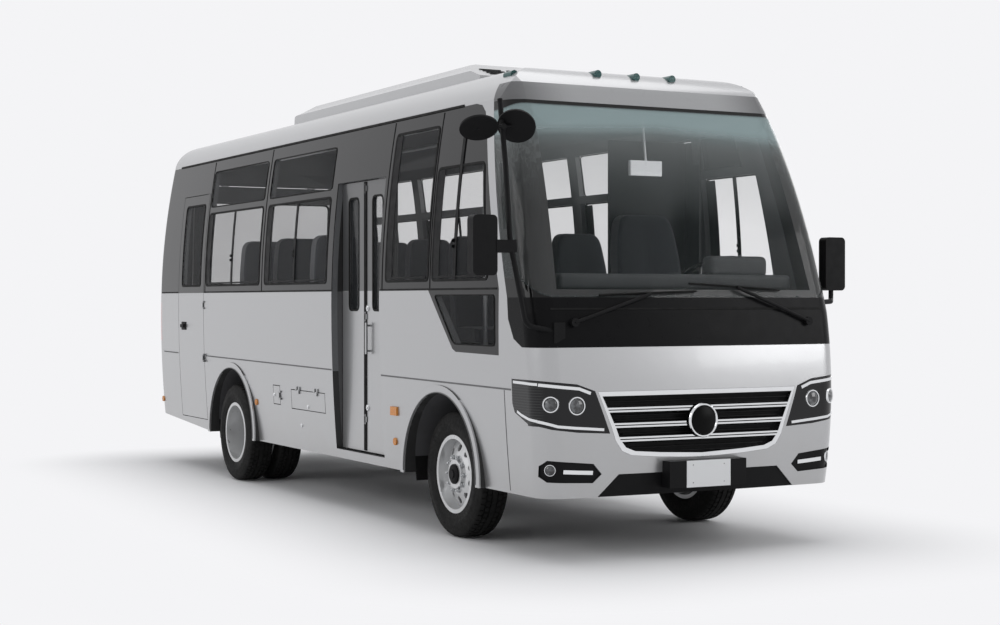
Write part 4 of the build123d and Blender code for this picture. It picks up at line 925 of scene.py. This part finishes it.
class MINIBUS_OT_front(bpy.types.Operator):
    """Louvres and plain roundel of the grille, lamps, fog lamps and mask line"""

    bl_idname = "minibus.front"
    bl_label = "Front"

    def execute(self, context):
        first_z, pitch, half, back_x, front_x = 0.592, 0.026, 0.004, 3.449, 3.468
        slats = []
        for index in range(13):
            rise = pitch * index
            z, reach = first_z + rise, 0.44 + 0.19 * min(1.0, rise / 0.3)
            slats.append(slab("slat", (back_x, -reach, z - half), (front_x, reach, z + half)))
        mount("grille_louvres", slats, "moulded_black", edge=0.003)
        roundel = (3.520, 0, 0.762)
        ring = spun("ring", [(0.082, 0.0), (0.086, 0.007), (0.094, 0.007), (0.098, 0.0)], roundel)
        mount("roundel_rim", [ring], "chrome", smooth=TURNED)
        disc = spun("disc", [(0.0, 0.0), (0.082, 0.0), (0.078, 0.0035), (0.0, 0.006)], roundel)
        mount("roundel_face", [disc], "gloss_black", smooth=TURNED)
        for side, name in SIDES:
            self.headlamp(side, name)
            self.fog_lamp(side, name)
        mask_z, mask_half = 1.392, 0.93
        path = [(-mask_half, mask_z), (mask_half, mask_z)]
        line = strip(path, 0.010, "nose", ["screen_surround"], 0.001, 0.004, 0.04)
        mount("mask_line", [line], "rubber", slot="black_gloss")
        return {"FINISHED"}

    def headlamp(self, side, name):
        """Bright strips over and under the lamp, and its two projectors."""
        lamp = ["headlamps"]
        top = ((0.72, 0.929), (0.79, 0.955), (0.90, 0.966), (1.005, 0.978))
        low = ((0.64, 0.728), (0.74, 0.736), (0.82, 0.742), (0.92, 0.752), (1.005, 0.778))
        side_top = ((3.165, 0.986), (3.30, 0.984), (3.40, 0.980))
        side_low = ((3.20, 0.824), (3.25, 0.806), (3.33, 0.788), (3.40, 0.779))
        strips = [
            strip([(side * y, z) for y, z in path], width, "nose", lamp, 0.002, 0.005, 0.03)
            for path, width in ((top, 0.017), (low, 0.015))
        ]
        strips += [strip(path, 0.015, name, lamp, 0.002, 0.005, 0.02) for path in (side_top, side_low)]
        mount(f"headlamp_strips_{name}", strips, "chrome", smooth=TURNED)
        rims, glasses = [], []
        for y, z, r in ((0.805, 0.862, 0.050), (0.955, 0.872, 0.044)):
            spot, turn = on_skin(lamp, "nose", side * y, z), skin_turn(lamp, side * y, z)
            profile = [(r - 0.010, -0.004), (r - 0.006, 0.004), (r, 0.004), (r + 0.004, -0.006)]
            rims.append(spun("rim", profile, spot, turn))
            profile = [(0.0, -0.004), (r - 0.008, -0.004), (r - 0.010, 0.001), (r * 0.6, 0.008), (0.0, 0.013)]
            glasses.append(spun("glass", profile, spot, turn))
        mount(f"projector_rims_{name}", rims, "chrome", smooth=TURNED)
        mount(f"projector_lenses_{name}", glasses, "dark_lens", smooth=TURNED)

    def fog_lamp(self, side, name):
        """Small round lamp and the bright strip beside it."""
        trim, z = ["nose_trim", "nose_panel"], 0.512
        spot, turn = on_skin(trim, "nose", side * 0.945, z), skin_turn(trim, side * 0.94, z)
        rim = spun("rim", [(0.026, 0.0), (0.028, 0.006), (0.031, 0.006), (0.034, -0.002)], spot, turn)
        mount(f"fog_rim_{name}", [rim], "chrome", smooth=TURNED)
        glass = spun("glass", [(0.0, 0.0), (0.028, 0.0), (0.026, 0.004), (0.0, 0.008)], spot, turn)
        mount(f"fog_lens_{name}", [glass], "dark_lens", smooth=TURNED)
        path = [(side * y, z) for y, z in ((0.70, 0.492), (0.79, 0.497), (0.88, 0.503))]
        bright = strip(path, 0.022, "nose", trim, 0.002, 0.005, 0.03)
        mount(f"fog_strip_{name}", [bright], "chrome", smooth=TURNED)


class MINIBUS_OT_wheels(bpy.types.Operator):
    """Treaded tyres, wheel nuts and hub caps"""

    bl_idname = "minibus.wheels"
    bl_label = "Wheels"

    def execute(self, context):
        front = self.tyre("tyre", FRONT_AXLE_X)
        rear = self.tyre("tyre", REAR_AXLE_X)
        front_y, twin_ys = 0.835, (0.655, 0.900)
        for side, name in SIDES:
            tyre = copied(front, "single", (0, side * front_y, 0))
            tyre = mount(f"road_tyre_front_{name}", [tyre], "front_tyre", f"wheel_front_{name}", smooth=50)
            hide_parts(f"tyre_front_{name}")
            twins = [copied(rear, "twin", (0, side * y, 0)) for y in twin_ys]
            twins = mount(f"road_tyres_rear_{name}", twins, "rear_tyre", f"wheels_rear_{name}", smooth=50)
            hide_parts(f"tyres_rear_{name}")
            for where, body, axle_x, face_y, circle, hub_y in (
                ("front", f"wheel_front_{name}", FRONT_AXLE_X, 0.901, 0.103, 0.919),
                ("rear", f"wheels_rear_{name}", REAR_AXLE_X, 0.7875, 0.114, 0.862),
            ):
                self.nuts(f"wheel_nuts_{where}_{name}", body, axle_x, side, face_y, circle)
                self.hub_cap(f"hub_cap_{where}_{name}", body, axle_x, side, hub_y)
        for piece in (front, rear):
            bpy.data.objects.remove(piece)
        return {"FINISHED"}

    def tyre(self, name, axle_x):
        """One tyre about the axle, its middle plane at y = 0."""
        half = [
            (0.2225, 0.078), (0.2290, 0.084), (0.2380, 0.0885), (0.2440, 0.0895), (0.2470, 0.0920),
            (0.2640, 0.0985), (0.2900, 0.1030), (0.2930, 0.1042), (0.3130, 0.1042), (0.3160, 0.1030),
            (0.3350, 0.1010), (0.3500, 0.0970), (0.3600, 0.0925), (0.3690, 0.0900), (0.3755, 0.0830),
            (0.3790, 0.0760), (0.3808, 0.0680), (0.3820, 0.0580), (0.3745, 0.0565), (0.3745, 0.0505),
            (0.3824, 0.0490), (0.3832, 0.0240), (0.3755, 0.0225), (0.3755, 0.0165), (0.3833, 0.0150),
        ]
        profile = half + [(radius, -y) for radius, y in reversed(half)]
        per_block, tread_depth = 4, 0.006
        steps = look().tread_blocks * per_block
        piece = spun(name, profile, (axle_x, 0, AXLE_Z), SIDEWAYS, steps)
        all_in_edit(piece)
        bpy.ops.mesh.select_all(action="DESELECT")
        bpy.ops.object.mode_set(mode="OBJECT")
        for face in piece.data.polygons:
            spot = face.center
            along, up = spot.x - axle_x, spot.z - AXLE_Z
            radius, step = math.hypot(along, up), int((math.atan2(up, along) % math.tau) / math.tau * steps)
            shoulder = abs(spot.y) > 0.0585 and radius > 0.3735
            rib = 0.0245 < abs(spot.y) < 0.049 and radius > 0.3815
            face.select = (shoulder and step % per_block == 0) or (rib and step % per_block == 2)
        bpy.ops.object.mode_set(mode="EDIT")
        bpy.ops.mesh.select_mode(type="FACE")
        bpy.ops.mesh.inset(thickness=0.0012, depth=-tread_depth, use_boundary=True)
        bpy.ops.object.mode_set(mode="OBJECT")
        tidy(piece)
        return piece

    def nuts(self, name, body, axle_x, side, face_y, circle):
        """Ten nuts on studs, each with its washer, on the wheel's face."""
        nuts, count = [], 10
        for index in range(count):
            angle = math.tau * index / count
            x, z = axle_x + circle * math.cos(angle), AXLE_Z + circle * math.sin(angle)
            nuts.append(drum("nut", (x, side * (face_y + 0.009), z), 0.0135, 0.018, sides=6))
            nuts.append(drum("stud", (x, side * (face_y + 0.014), z), 0.0075, 0.028, sides=12))
            nuts.append(drum("washer", (x, side * (face_y + 0.0015), z), 0.016, 0.003, sides=16))
        mount(name, nuts, "satin_metal", body, edge=0.0012, segments=1)

    def hub_cap(self, name, body, axle_x, side, hub_y):
        """Stepped cap on the hub's end."""
        profile = [
            (0.0, -0.002), (0.062, -0.002), (0.060, 0.010), (0.050, 0.016), (0.030, 0.018), (0.028, 0.024),
            (0.0, 0.025),
        ]
        profile = [(radius, side * y) for radius, y in profile]
        cap = spun("cap", profile, (axle_x, side * hub_y, AXLE_Z), SIDEWAYS, 40)
        mount(name, [cap], "moulded_black", body, smooth=30)


class MINIBUS_OT_doors(bpy.types.Operator):
    """Seals, locks and handles of the doors, flap, hatch and tailgate"""

    bl_idname = "minibus.doors"
    bl_label = "Doors"

    def execute(self, context):
        self.entrance()
        self.side_locks()
        self.tailgate()
        return {"FINISHED"}

    def entrance(self):
        """Rubber round each leaf's glass, the meeting edges and the locks."""
        face_y, fold_x, gap = -0.951, 0.9335, 0.012
        for leaf, toward in (("rear", -1), ("front", 1)):
            body, glass = f"entry_leaf_{leaf}", f"entry_glass_{leaf}"
            low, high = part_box(glass)
            rubber = self.flat_ring(low, high, face_y + 0.0005)
            mount(f"{body}_window_rubber", [rubber], "rubber", body)
            x = fold_x + toward * gap
            seal = slab("seal", (x - 0.008, face_y - 0.006, 0.43), (x + 0.008, face_y + 0.002, 2.235))
            mount(f"{body}_edge_rubber", [seal], "rubber", body, edge=0.002)
        locks, lock_x = [], 0.975
        for z in (1.385, 0.72):
            locks.append(drum("lock", (lock_x, face_y - 0.004, z), 0.020, 0.010))
            locks.append(drum("barrel", (lock_x, face_y - 0.010, z), 0.010, 0.008))
        mount("entry_locks", locks, "chrome", "entry_leaf_front", edge=0.0015)

    def side_locks(self):
        """Handle of the rear door; locks of the flap, the hatch and the skirt."""
        y = on_skin(["rear_door"], "right", -2.79, 1.22).y
        plate = slab("plate", (-2.85, y - 0.006, 1.185), (-2.73, y + 0.004, 1.255))
        grip = slab("grip", (-2.84, y - 0.022, 1.205), (-2.75, y - 0.008, 1.235))
        stem = slab("stem", (-2.765, y - 0.014, 1.210), (-2.745, y, 1.230))
        parts = [plate, grip, stem]
        mount("rear_door_handle", parts, "moulded_black", "rear_door", edge=0.005, segments=3)
        for name, body, node, x, z in (
            ("fuel_flap_lock", "fuel_flap", "fuel_flap", -0.630, 0.733),
            ("battery_hatch_lock", "battery_hatch", "battery_hatch", 0.044, 0.675),
            ("skirt_lock", "body", "side_wall_right", -0.10, 0.534),
        ):
            y = on_skin([node], "right", x, z).y
            rose = drum("rose", (x, y - 0.002, z), 0.014, 0.008)
            key = drum("key", (x, y - 0.006, z), 0.007, 0.006)
            mount(name, [rose, key], "chrome", body, edge=0.001)

    def tailgate(self):
        """Handle, plate lamps and window rubber of the tailgate."""
        x = on_skin(["tailgate"], "tail", 0.0, 1.06).x
        grip = slab("grip", (x - 0.022, -0.14, 1.045), (x + 0.004, 0.14, 1.085))
        mount("tailgate_handle", [grip], "moulded_black", "tailgate", edge=0.006, segments=3)
        lamps = []
        for y in (-0.10, 0.10):
            lamps.append(slab("lamp", (x - 0.012, y - 0.035, 1.022), (x + 0.004, y + 0.035, 1.044)))
        mount("plate_lamps", lamps, "white_lens", "tailgate", "lamp_lens", edge=0.004)
        loop = rounded_loop(-0.60, 0.60, 1.58, 2.33, 0.06)
        rubber = strip(loop, 0.022, "tail", ["tailgate_glass"], 0.001, 0.004, 0.1)
        mount("rear_window_rubber", [rubber], "rubber", "tailgate")

    def flat_ring(self, low, high, y):
        """Rounded flat rubber round the glass of one leaf, on its outer face."""
        loop = rounded_loop(low[0], high[0], low[2], high[2], 0.05)
        piece = outline("ring", [(point.x, y, point.y) for point in loop[:-1]])
        all_in_edit(piece)
        bpy.ops.mesh.inset(thickness=0.014, depth=0)
        bpy.ops.mesh.delete(type="FACE")
        bpy.ops.object.mode_set(mode="OBJECT")
        modify(piece, "SOLIDIFY", thickness=0.005, offset=0)
        tidy(piece)
        return piece


class MINIBUS_OT_tail(bpy.types.Operator):
    """Round lamp inserts, bumper step pad and reflectors at the back"""

    bl_idname = "minibus.tail"
    bl_label = "Tail"

    def execute(self, context):
        rim_profile = [(0.040, 0.002), (0.041, -0.006), (0.046, -0.006), (0.049, 0.002)]
        lens_profile = [(0.0, 0.002), (0.041, 0.002), (0.038, -0.005), (0.0, -0.010)]
        lamp_y, reflector_y, pad_half, pad_z = 0.885, 0.70, 0.72, 0.955
        for side, name in SIDES:
            rims = []
            for z, finish in ((1.14, "red_lens"), (1.25, "white_lens"), (1.36, "amber_lens")):
                spot = on_skin(["tail_lamps"], "tail", side * lamp_y, z)
                rims.append(spun("rim", rim_profile, spot))
                glass = spun("glass", lens_profile, spot)
                mount(f"tail_{finish}_{name}", [glass], finish, smooth=TURNED)
            mount(f"tail_lamp_rims_{name}", rims, "chrome", smooth=TURNED)
            y = side * reflector_y
            x = on_skin(["rear_bumper"], "tail", y, 0.62).x
            reflector = slab("reflector", (x - 0.008, y - 0.06, 0.60), (x + 0.004, y + 0.06, 0.64))
            mount(f"rear_reflector_{name}", [reflector], "red_lens", edge=0.004)
        path = [(-pad_half, pad_z), (pad_half, pad_z)]
        pad = strip(path, 0.030, "tail", ["rear_bumper"], 0.002, 0.006)
        mount("bumper_step_pad", [pad], "moulded_black", edge=0.001)
        return {"FINISHED"}


class MINIBUS_OT_roof(bpy.types.Operator):
    """Louvres, joints and foot rubber of the cooling unit"""

    bl_idname = "minibus.roof"
    bl_label = "Roof unit"

    def execute(self, context):
        slots, first_x, pitch = [], 1.825, 0.050
        for row in range(4):
            x = first_x - pitch * row
            for y in (-0.40, -0.20, 0.0, 0.20, 0.40):
                z = on_skin(["roof_unit", "roof_panel"], "top", x, y).z
                low, high = (x - 0.012, y - 0.078, z - 0.006), (x + 0.012, y + 0.078, z + 0.0035)
                slots.append(slab("slot", low, high))
        mount("unit_louvres", slots, "moulded_black", edge=0.002)
        joints = [
            strip([(x, -0.40), (x, 0.40)], 0.008, "top", ["roof_unit"], 0.0008, 0.003, 0.1)
            for x in (-1.05, 0.25, 1.45)
        ]
        mount("unit_joints", joints, "rubber")
        foot = [
            strip([(-1.30, y), (1.88, y)], 0.012, "top", ["roof_panel"], 0.003, 0.008, 0.3)
            for y in (-0.603, 0.603)
        ]
        mount("unit_foot_rubber", foot, "rubber")
        return {"FINISHED"}


class MINIBUS_OT_mirrors(bpy.types.Operator):
    """Mirror glasses"""

    bl_idname = "minibus.mirrors"
    bl_label = "Mirrors"

    def execute(self, context):
        inner_y, outer_y, face_depth, thickness = 1.205, 1.341, 0.0352, 0.003
        for name, x, side, z in (("right", 3.262, -1, 1.575), ("left", 3.075, 1, 1.500)):
            y0, y1 = sorted((side * inner_y, side * outer_y))
            loop = rounded_loop(y0, y1, z + 0.010, z + 0.320, 0.030)
            points = [(x - face_depth, point.x, point.y) for point in loop[:-1]]
            glass = extruded("glass", points, (-thickness, 0, 0))
            mount(f"mirror_glass_{name}", [glass], "mirror_glass", edge=0.001)
        return {"FINISHED"}


class MINIBUS_OT_wipers(bpy.types.Operator):
    """Wiper arms and blades"""

    bl_idname = "minibus.wipers"
    bl_label = "Wipers"

    def execute(self, context):
        skin, pivot_z, parts = ["screen_surround", "windscreen"], 1.318, 8
        arms, blades = [], []
        for pivot_y, tip_y, tip_z, low_y, high_y, low_z, high_z in (
            (-0.80, -0.30, 1.475, -0.62, 0.02, 1.468, 1.492),
            (0.80, 0.30, 1.515, -0.02, 0.62, 1.535, 1.500),
        ):
            foot = on_skin(skin, "nose", pivot_y, pivot_z, 0.022)
            tip = on_skin(skin, "nose", tip_y, tip_z, 0.026)
            middle = on_skin(skin, "nose", (pivot_y + tip_y) / 2, (pivot_z + tip_z) / 2, 0.030)
            arms.append(bar_along("arm", [foot, middle, tip], 0.010))
            arms.append(drum("boss", foot - Vector((0.012, 0, 0)), 0.024, 0.036, "X"))
            path = []
            for part in range(parts + 1):
                t = part / parts
                y, z = low_y + (high_y - low_y) * t, low_z + (high_z - low_z) * t
                path.append(on_skin(skin, "nose", y, z, 0.010))
            blades.append(bar_along("blade", path, 0.0065))
            spine = [point + Vector((0.010, 0, 0.002)) for point in path[1:-1]]
            blades.append(bar_along("spine", spine, 0.0045))
        arms_piece = mount("wiper_arms", arms, "moulded_black", smooth=50)
        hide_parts("wipers")
        mount("wiper_blades", blades, "rubber", smooth=50)
        return {"FINISHED"}


class MINIBUS_OT_seats(bpy.types.Operator):
    """Upholstered seats on metal pedestals"""

    bl_idname = "minibus.seats"
    bl_label = "Seats"

    def execute(self, context):
        pair_y, half_pair, single_y, bench_x, bench_y = 0.48, 0.22, -0.715, -2.75, 0.26
        seat_z, unit_width, driver, driver_width = 1.25, 0.43, (2.33, 0.52, 1.33), 0.49
        pair_xs, single_xs = (1.18, 0.42, -0.34, -1.10, -1.86), (0.12, -0.64, -1.40)
        units = [(x, pair_y + shift, seat_z) for x in pair_xs for shift in (-half_pair, half_pair)]
        units += [(x, single_y, seat_z) for x in single_xs]
        units += [(bench_x, bench_y + shift, seat_z) for shift in (-0.433, 0.0, 0.433)]
        lower = self.upholstered("passenger_cushions", self.cushion(unit_width), units)
        upper = self.upholstered("passenger_backs", self.back(unit_width), units)
        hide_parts("passenger_seats")
        feet = [(x, pair_y) for x in pair_xs] + [(x, single_y) for x in single_xs]
        feet += [(bench_x, -0.12), (bench_x, 0.64)]
        self.pedestals("seat_pedestals", feet, 1.125)
        seat = self.upholstered("driver_cushion", self.cushion(driver_width), [driver])
        rest = self.upholstered("driver_back", self.back(driver_width), [driver])
        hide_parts("driver_seat")
        self.pedestals("driver_pedestal", [driver[:2]], 1.205)
        return {"FINISHED"}

    def upholstered(self, name, pattern, places):
        """Copies of one pad at every place, as one piece."""
        copies = [copied(pattern, "pad", place) for place in places]
        bpy.data.objects.remove(pattern)
        return mount(name, copies, "cloth", smooth=80)

    def pedestals(self, name, places, top):
        """Box pedestals standing on the floor."""
        foot_z = FLOOR_Z + 0.0005
        boxes = [slab("box", (x - 0.14, y - 0.13, foot_z), (x + 0.12, y + 0.13, top)) for x, y in places]
        mount(name, boxes, "chassis", edge=look().bevel)

    def pad(self, name, low, high, cuts, shape):
        """A subdivided box, its vertices moved by the shape function, then rounded."""
        piece = slab(name, low, high)
        all_in_edit(piece)
        bpy.ops.mesh.subdivide(number_cuts=cuts)
        bpy.ops.object.mode_set(mode="OBJECT")
        for vertex in piece.data.vertices:
            place = vertex.co
            shape(place, *((2 * c - a - b) / (b - a) for a, b, c in zip(low, high, place)))
        modify(piece, "SUBSURF", levels=1, render_levels=1)
        tidy(piece)
        return piece

    def cushion(self, width):
        """Seat cushion with a rolled front and a shallow hollow."""

        def shape(place, u, v, w):
            if w > 0.9:
                crown = 0.006 * (1 - u * u) * (1 - v * v)
                hollow = 0.010 * max(0, 1 - abs(v) * 2.2) * (1 - abs(u))
                place.z += crown - hollow - 0.024 * max(0, u - 0.5)
            place.y -= 0.004 * v * (1 - w * w) * (1 - abs(u))

        half = width / 2 - 0.004
        return self.pad("cushion", (-0.20, -half, -0.118), (0.208, half, -0.006), 6, shape)

    def back(self, width):
        """Seat back leaning away, with wings and a rounded head."""

        def shape(place, u, v, w):
            up = (w + 1) / 2
            place.y *= 1 - 0.20 * max(0.0, up - 0.62) / 0.38
            place.x -= 0.130 * up - 0.006
            if u > 0.9:
                hollow = 0.012 * max(0, 1 - abs(v) * 2) * math.sin(up * math.pi)
                place.x += 0.012 * abs(v) ** 2 - hollow
            if abs(v) > 0.9 and w > 0.9:
                place.z -= 0.035

        half = width / 2 - 0.004
        return self.pad("back", (-0.205, -half, -0.115), (-0.108, half, 0.665), 8, shape)


class MINIBUS_OT_cab(bpy.types.Operator):
    """Dash top, vents, dials, partition and gear lever"""

    bl_idname = "minibus.cab"
    bl_label = "Cab"

    def execute(self, context):
        vents, first_x, first_z, pitch, fall = [], 3.085, 1.494, 0.022, 0.003
        for y in (-0.70, -0.35, 0.02):
            for row in range(4):
                x, z = first_x + pitch * row, first_z - fall * row
                vents.append(slab("vent", (x, y - 0.10, z), (x + 0.010, y + 0.10, z + 0.012)))
        mount("dash_vents", vents, "moulded_black", edge=0.0015)
        dial_x, dial_z = 2.958, 1.515
        dials = [drum("dial", (dial_x, y, dial_z), 0.045, 0.006, "X") for y in (0.40, 0.51, 0.62)]
        mount("dash_dials", dials, "gloss_black", edge=0.0015)
        self.dash_pad()
        foot_z, top_z = FLOOR_Z + 0.002, 2.49
        board = slab("board", (1.945, 0.33, foot_z), (1.965, 0.945, top_z))
        wing = slab("wing", (1.966, 0.925, foot_z), (2.13, 0.945, top_z))
        mount("driver_partition", [board, wing], "dash", edge=0.004)
        lever = bar_along("lever", [(2.80, 0.02, 1.045), (2.80, 0.03, 1.20), (2.74, 0.05, 1.36)], 0.011)
        knob = drum("knob", (2.738, 0.051, 1.375), 0.026, 0.05, "Z")
        mount("gear_lever", [lever, knob], "moulded_black", edge=0.006)
        return {"FINISHED"}

    def dash_pad(self):
        """Padded dash top that follows the windscreen, and the hood over the dials."""
        half, pad_z, pad_back, hood_z, hood_back = 0.80, 1.4955, 2.985, 1.575, 3.168
        screen = ["windscreen", "screen_surround"]
        edge = [
            (on_skin(screen, "nose", y, 1.62).x - 0.06, y, pad_z)
            for y in (-half, -0.62, -0.40, -0.15, 0.15, 0.40, 0.62, half)
        ]
        points = [(pad_back, -half, pad_z), *edge, (pad_back, half, pad_z)]
        pad = extruded("pad", points, (0, 0, 0.095))
        crown = [
            (on_skin(["windscreen"], "nose", y, 1.72).x - 0.05, y, hood_z)
            for y in (0.22, 0.36, 0.50, 0.64)
        ]
        points = [*crown, (hood_back, 0.64, hood_z), (hood_back, 0.22, hood_z)]
        hood = extruded("hood", points, (0, 0, 0.125))
        modify(hood, "BEVEL", width=0.035, segments=5, limit_method="ANGLE", angle_limit=0.6)
        modify(pad, "BEVEL", width=0.025, segments=4, limit_method="ANGLE", angle_limit=0.6)
        mount("dash_pad", [pad, hood], "dash", smooth=40)


class MINIBUS_OT_stage(bpy.types.Operator):
    """Plain floor, soft lights, pale surroundings and the camera"""

    bl_idname = "minibus.stage"
    bl_label = "Stage"

    def execute(self, context):
        deselect()
        bpy.ops.mesh.primitive_plane_add(size=160, location=(0, 0, 0))
        floor = named("floor_plane")
        floor.data.materials.append(self.floor_finish())
        for name, place, size, power in (
            ("light_top", (0.5, -0.5, 7.5), (9.0, 6.0), 230),
            ("light_front", (8.5, 6.5, 4.0), (5.0, 4.0), 190),
            ("light_side", (2.0, -9.5, 5.0), (8.0, 3.5), 190),
            ("light_far", (-3.0, 9.0, 4.5), (7.0, 3.5), 90),
        ):
            light = bpy.data.lights.new(name, "AREA")
            light.shape, light.size, light.size_y, light.energy = "RECTANGLE", *size, power
            self.placed(name, light, place, Vector((0, 0, 1.2)) - Vector(place))
        self.surroundings(context.scene)
        camera = bpy.data.cameras.new("camera")
        camera.sensor_width, camera.lens, camera.clip_end = 36.0, 62.06, 300
        yaw, pitch = math.radians(27.93), math.radians(-0.41)
        aim = (-math.cos(yaw) * math.cos(pitch), math.sin(yaw) * math.cos(pitch), math.sin(pitch))
        context.scene.camera = self.placed("camera", camera, (11.59, -5.58, 1.44), Vector(aim))
        context.scene.view_settings.view_transform = "Standard"
        return {"FINISHED"}

    def placed(self, name, data, place, aim):
        """A lamp or camera that looks along a direction."""
        made = bpy.data.objects.new(name, data)
        made.location = place
        made.rotation_euler = aim.to_track_quat("-Z", "Y").to_euler()
        bpy.context.collection.objects.link(made)
        return made

    def floor_finish(self):
        """White floor that keeps the real shadow near the bus and fades into the surroundings; inside the
        fade it stays darker than the surroundings, a painted shadow round the bus's footprint.
        """
        finish = Finish("floor_plane")
        x, y, _ = finish.axes()
        reach = finish.outside(x, 3.3, y, 0.8)
        white = finish.mix(finish.noise(0.8), (0.87, 0.87, 0.88), (0.89, 0.89, 0.90))
        finish.set(Base_Color=white, Roughness=finish.span(finish.noise(3.0), 0.0, 1.0, 0.65, 0.75))
        glow = finish.node("ShaderNodeEmission")
        glow.inputs["Color"].default_value = SURROUNDINGS
        blend = finish.node("ShaderNodeMixShader")
        # painted shadow: the glow fades out towards the bus's footprint, so the floor round it is darker than
        # the surroundings on top of the real shadow
        finish.feed(blend.inputs[0], finish.span(reach, 0.0, 1.7, kind="SMOOTHSTEP"))
        finish.feed(blend.inputs[1], Wire(finish, finish.shader.outputs[0]))
        finish.feed(blend.inputs[2], Wire(finish, glow.outputs[0]))
        finish.feed(finish.tree.nodes["Material Output"].inputs["Surface"], Wire(finish, blend.outputs[0]))
        return finish.material

    def surroundings(self, scene):
        """Pale to the eye and in reflections, softer as a light."""
        world = bpy.data.worlds.new("surroundings")
        world.use_nodes = True
        tree = world.node_tree
        join = tree.links.new
        seen, fill = tree.nodes["Background"], tree.nodes.new("ShaderNodeBackground")
        for shader, pale, strength in ((seen, SURROUNDINGS, 1.0), (fill, (0.97, 0.98, 1.0, 1), 0.42)):
            shader.inputs["Color"].default_value = pale
            shader.inputs["Strength"].default_value = strength
        path = tree.nodes.new("ShaderNodeLightPath")
        direct = path.outputs["Is Camera Ray"]
        for kind in ("Is Glossy Ray", "Is Transmission Ray"):
            either = tree.nodes.new("ShaderNodeMath")
            either.operation = "MAXIMUM"
            join(direct, either.inputs[0])
            join(path.outputs[kind], either.inputs[1])
            direct = either.outputs[0]
        blend = tree.nodes.new("ShaderNodeMixShader")
        join(direct, blend.inputs[0])
        join(fill.outputs[0], blend.inputs[1])
        join(seen.outputs[0], blend.inputs[2])
        join(blend.outputs[0], tree.nodes["World Output"].inputs["Surface"])
        scene.world = world


OPERATORS = (
    MINIBUS_OT_surfaces, MINIBUS_OT_side_trim, MINIBUS_OT_body_trim, MINIBUS_OT_front, MINIBUS_OT_wheels,
    MINIBUS_OT_doors, MINIBUS_OT_tail, MINIBUS_OT_roof, MINIBUS_OT_mirrors, MINIBUS_OT_wipers,
    MINIBUS_OT_seats, MINIBUS_OT_cab, MINIBUS_OT_stage,
)


class MINIBUS_PT_panel(bpy.types.Panel):
    """Lists the steps and the colours"""

    bl_idname = "MINIBUS_PT_panel"
    bl_label = "Minibus"
    bl_space_type = "VIEW_3D"
    bl_region_type = "UI"
    bl_category = "Minibus"

    def draw(self, context):
        for name in MinibusLook.__annotations__:
            self.layout.prop(context.scene.minibus_look, name)
        for operator in OPERATORS:
            self.layout.operator(operator.bl_idname)


def register():
    for item in (MinibusLook, *OPERATORS, MINIBUS_PT_panel):
        bpy.utils.register_class(item)
    bpy.types.Scene.minibus_look = PointerProperty(type=MinibusLook)


def unregister():
    del bpy.types.Scene.minibus_look
    for item in (MINIBUS_PT_panel, *reversed(OPERATORS), MinibusLook):
        bpy.utils.unregister_class(item)


def main():
    """Registers the add-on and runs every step."""
    register()
    for operator in OPERATORS:
        group, step = operator.bl_idname.split(".")
        getattr(getattr(bpy.ops, group), step)()


if __name__ == "__main__":
    main()
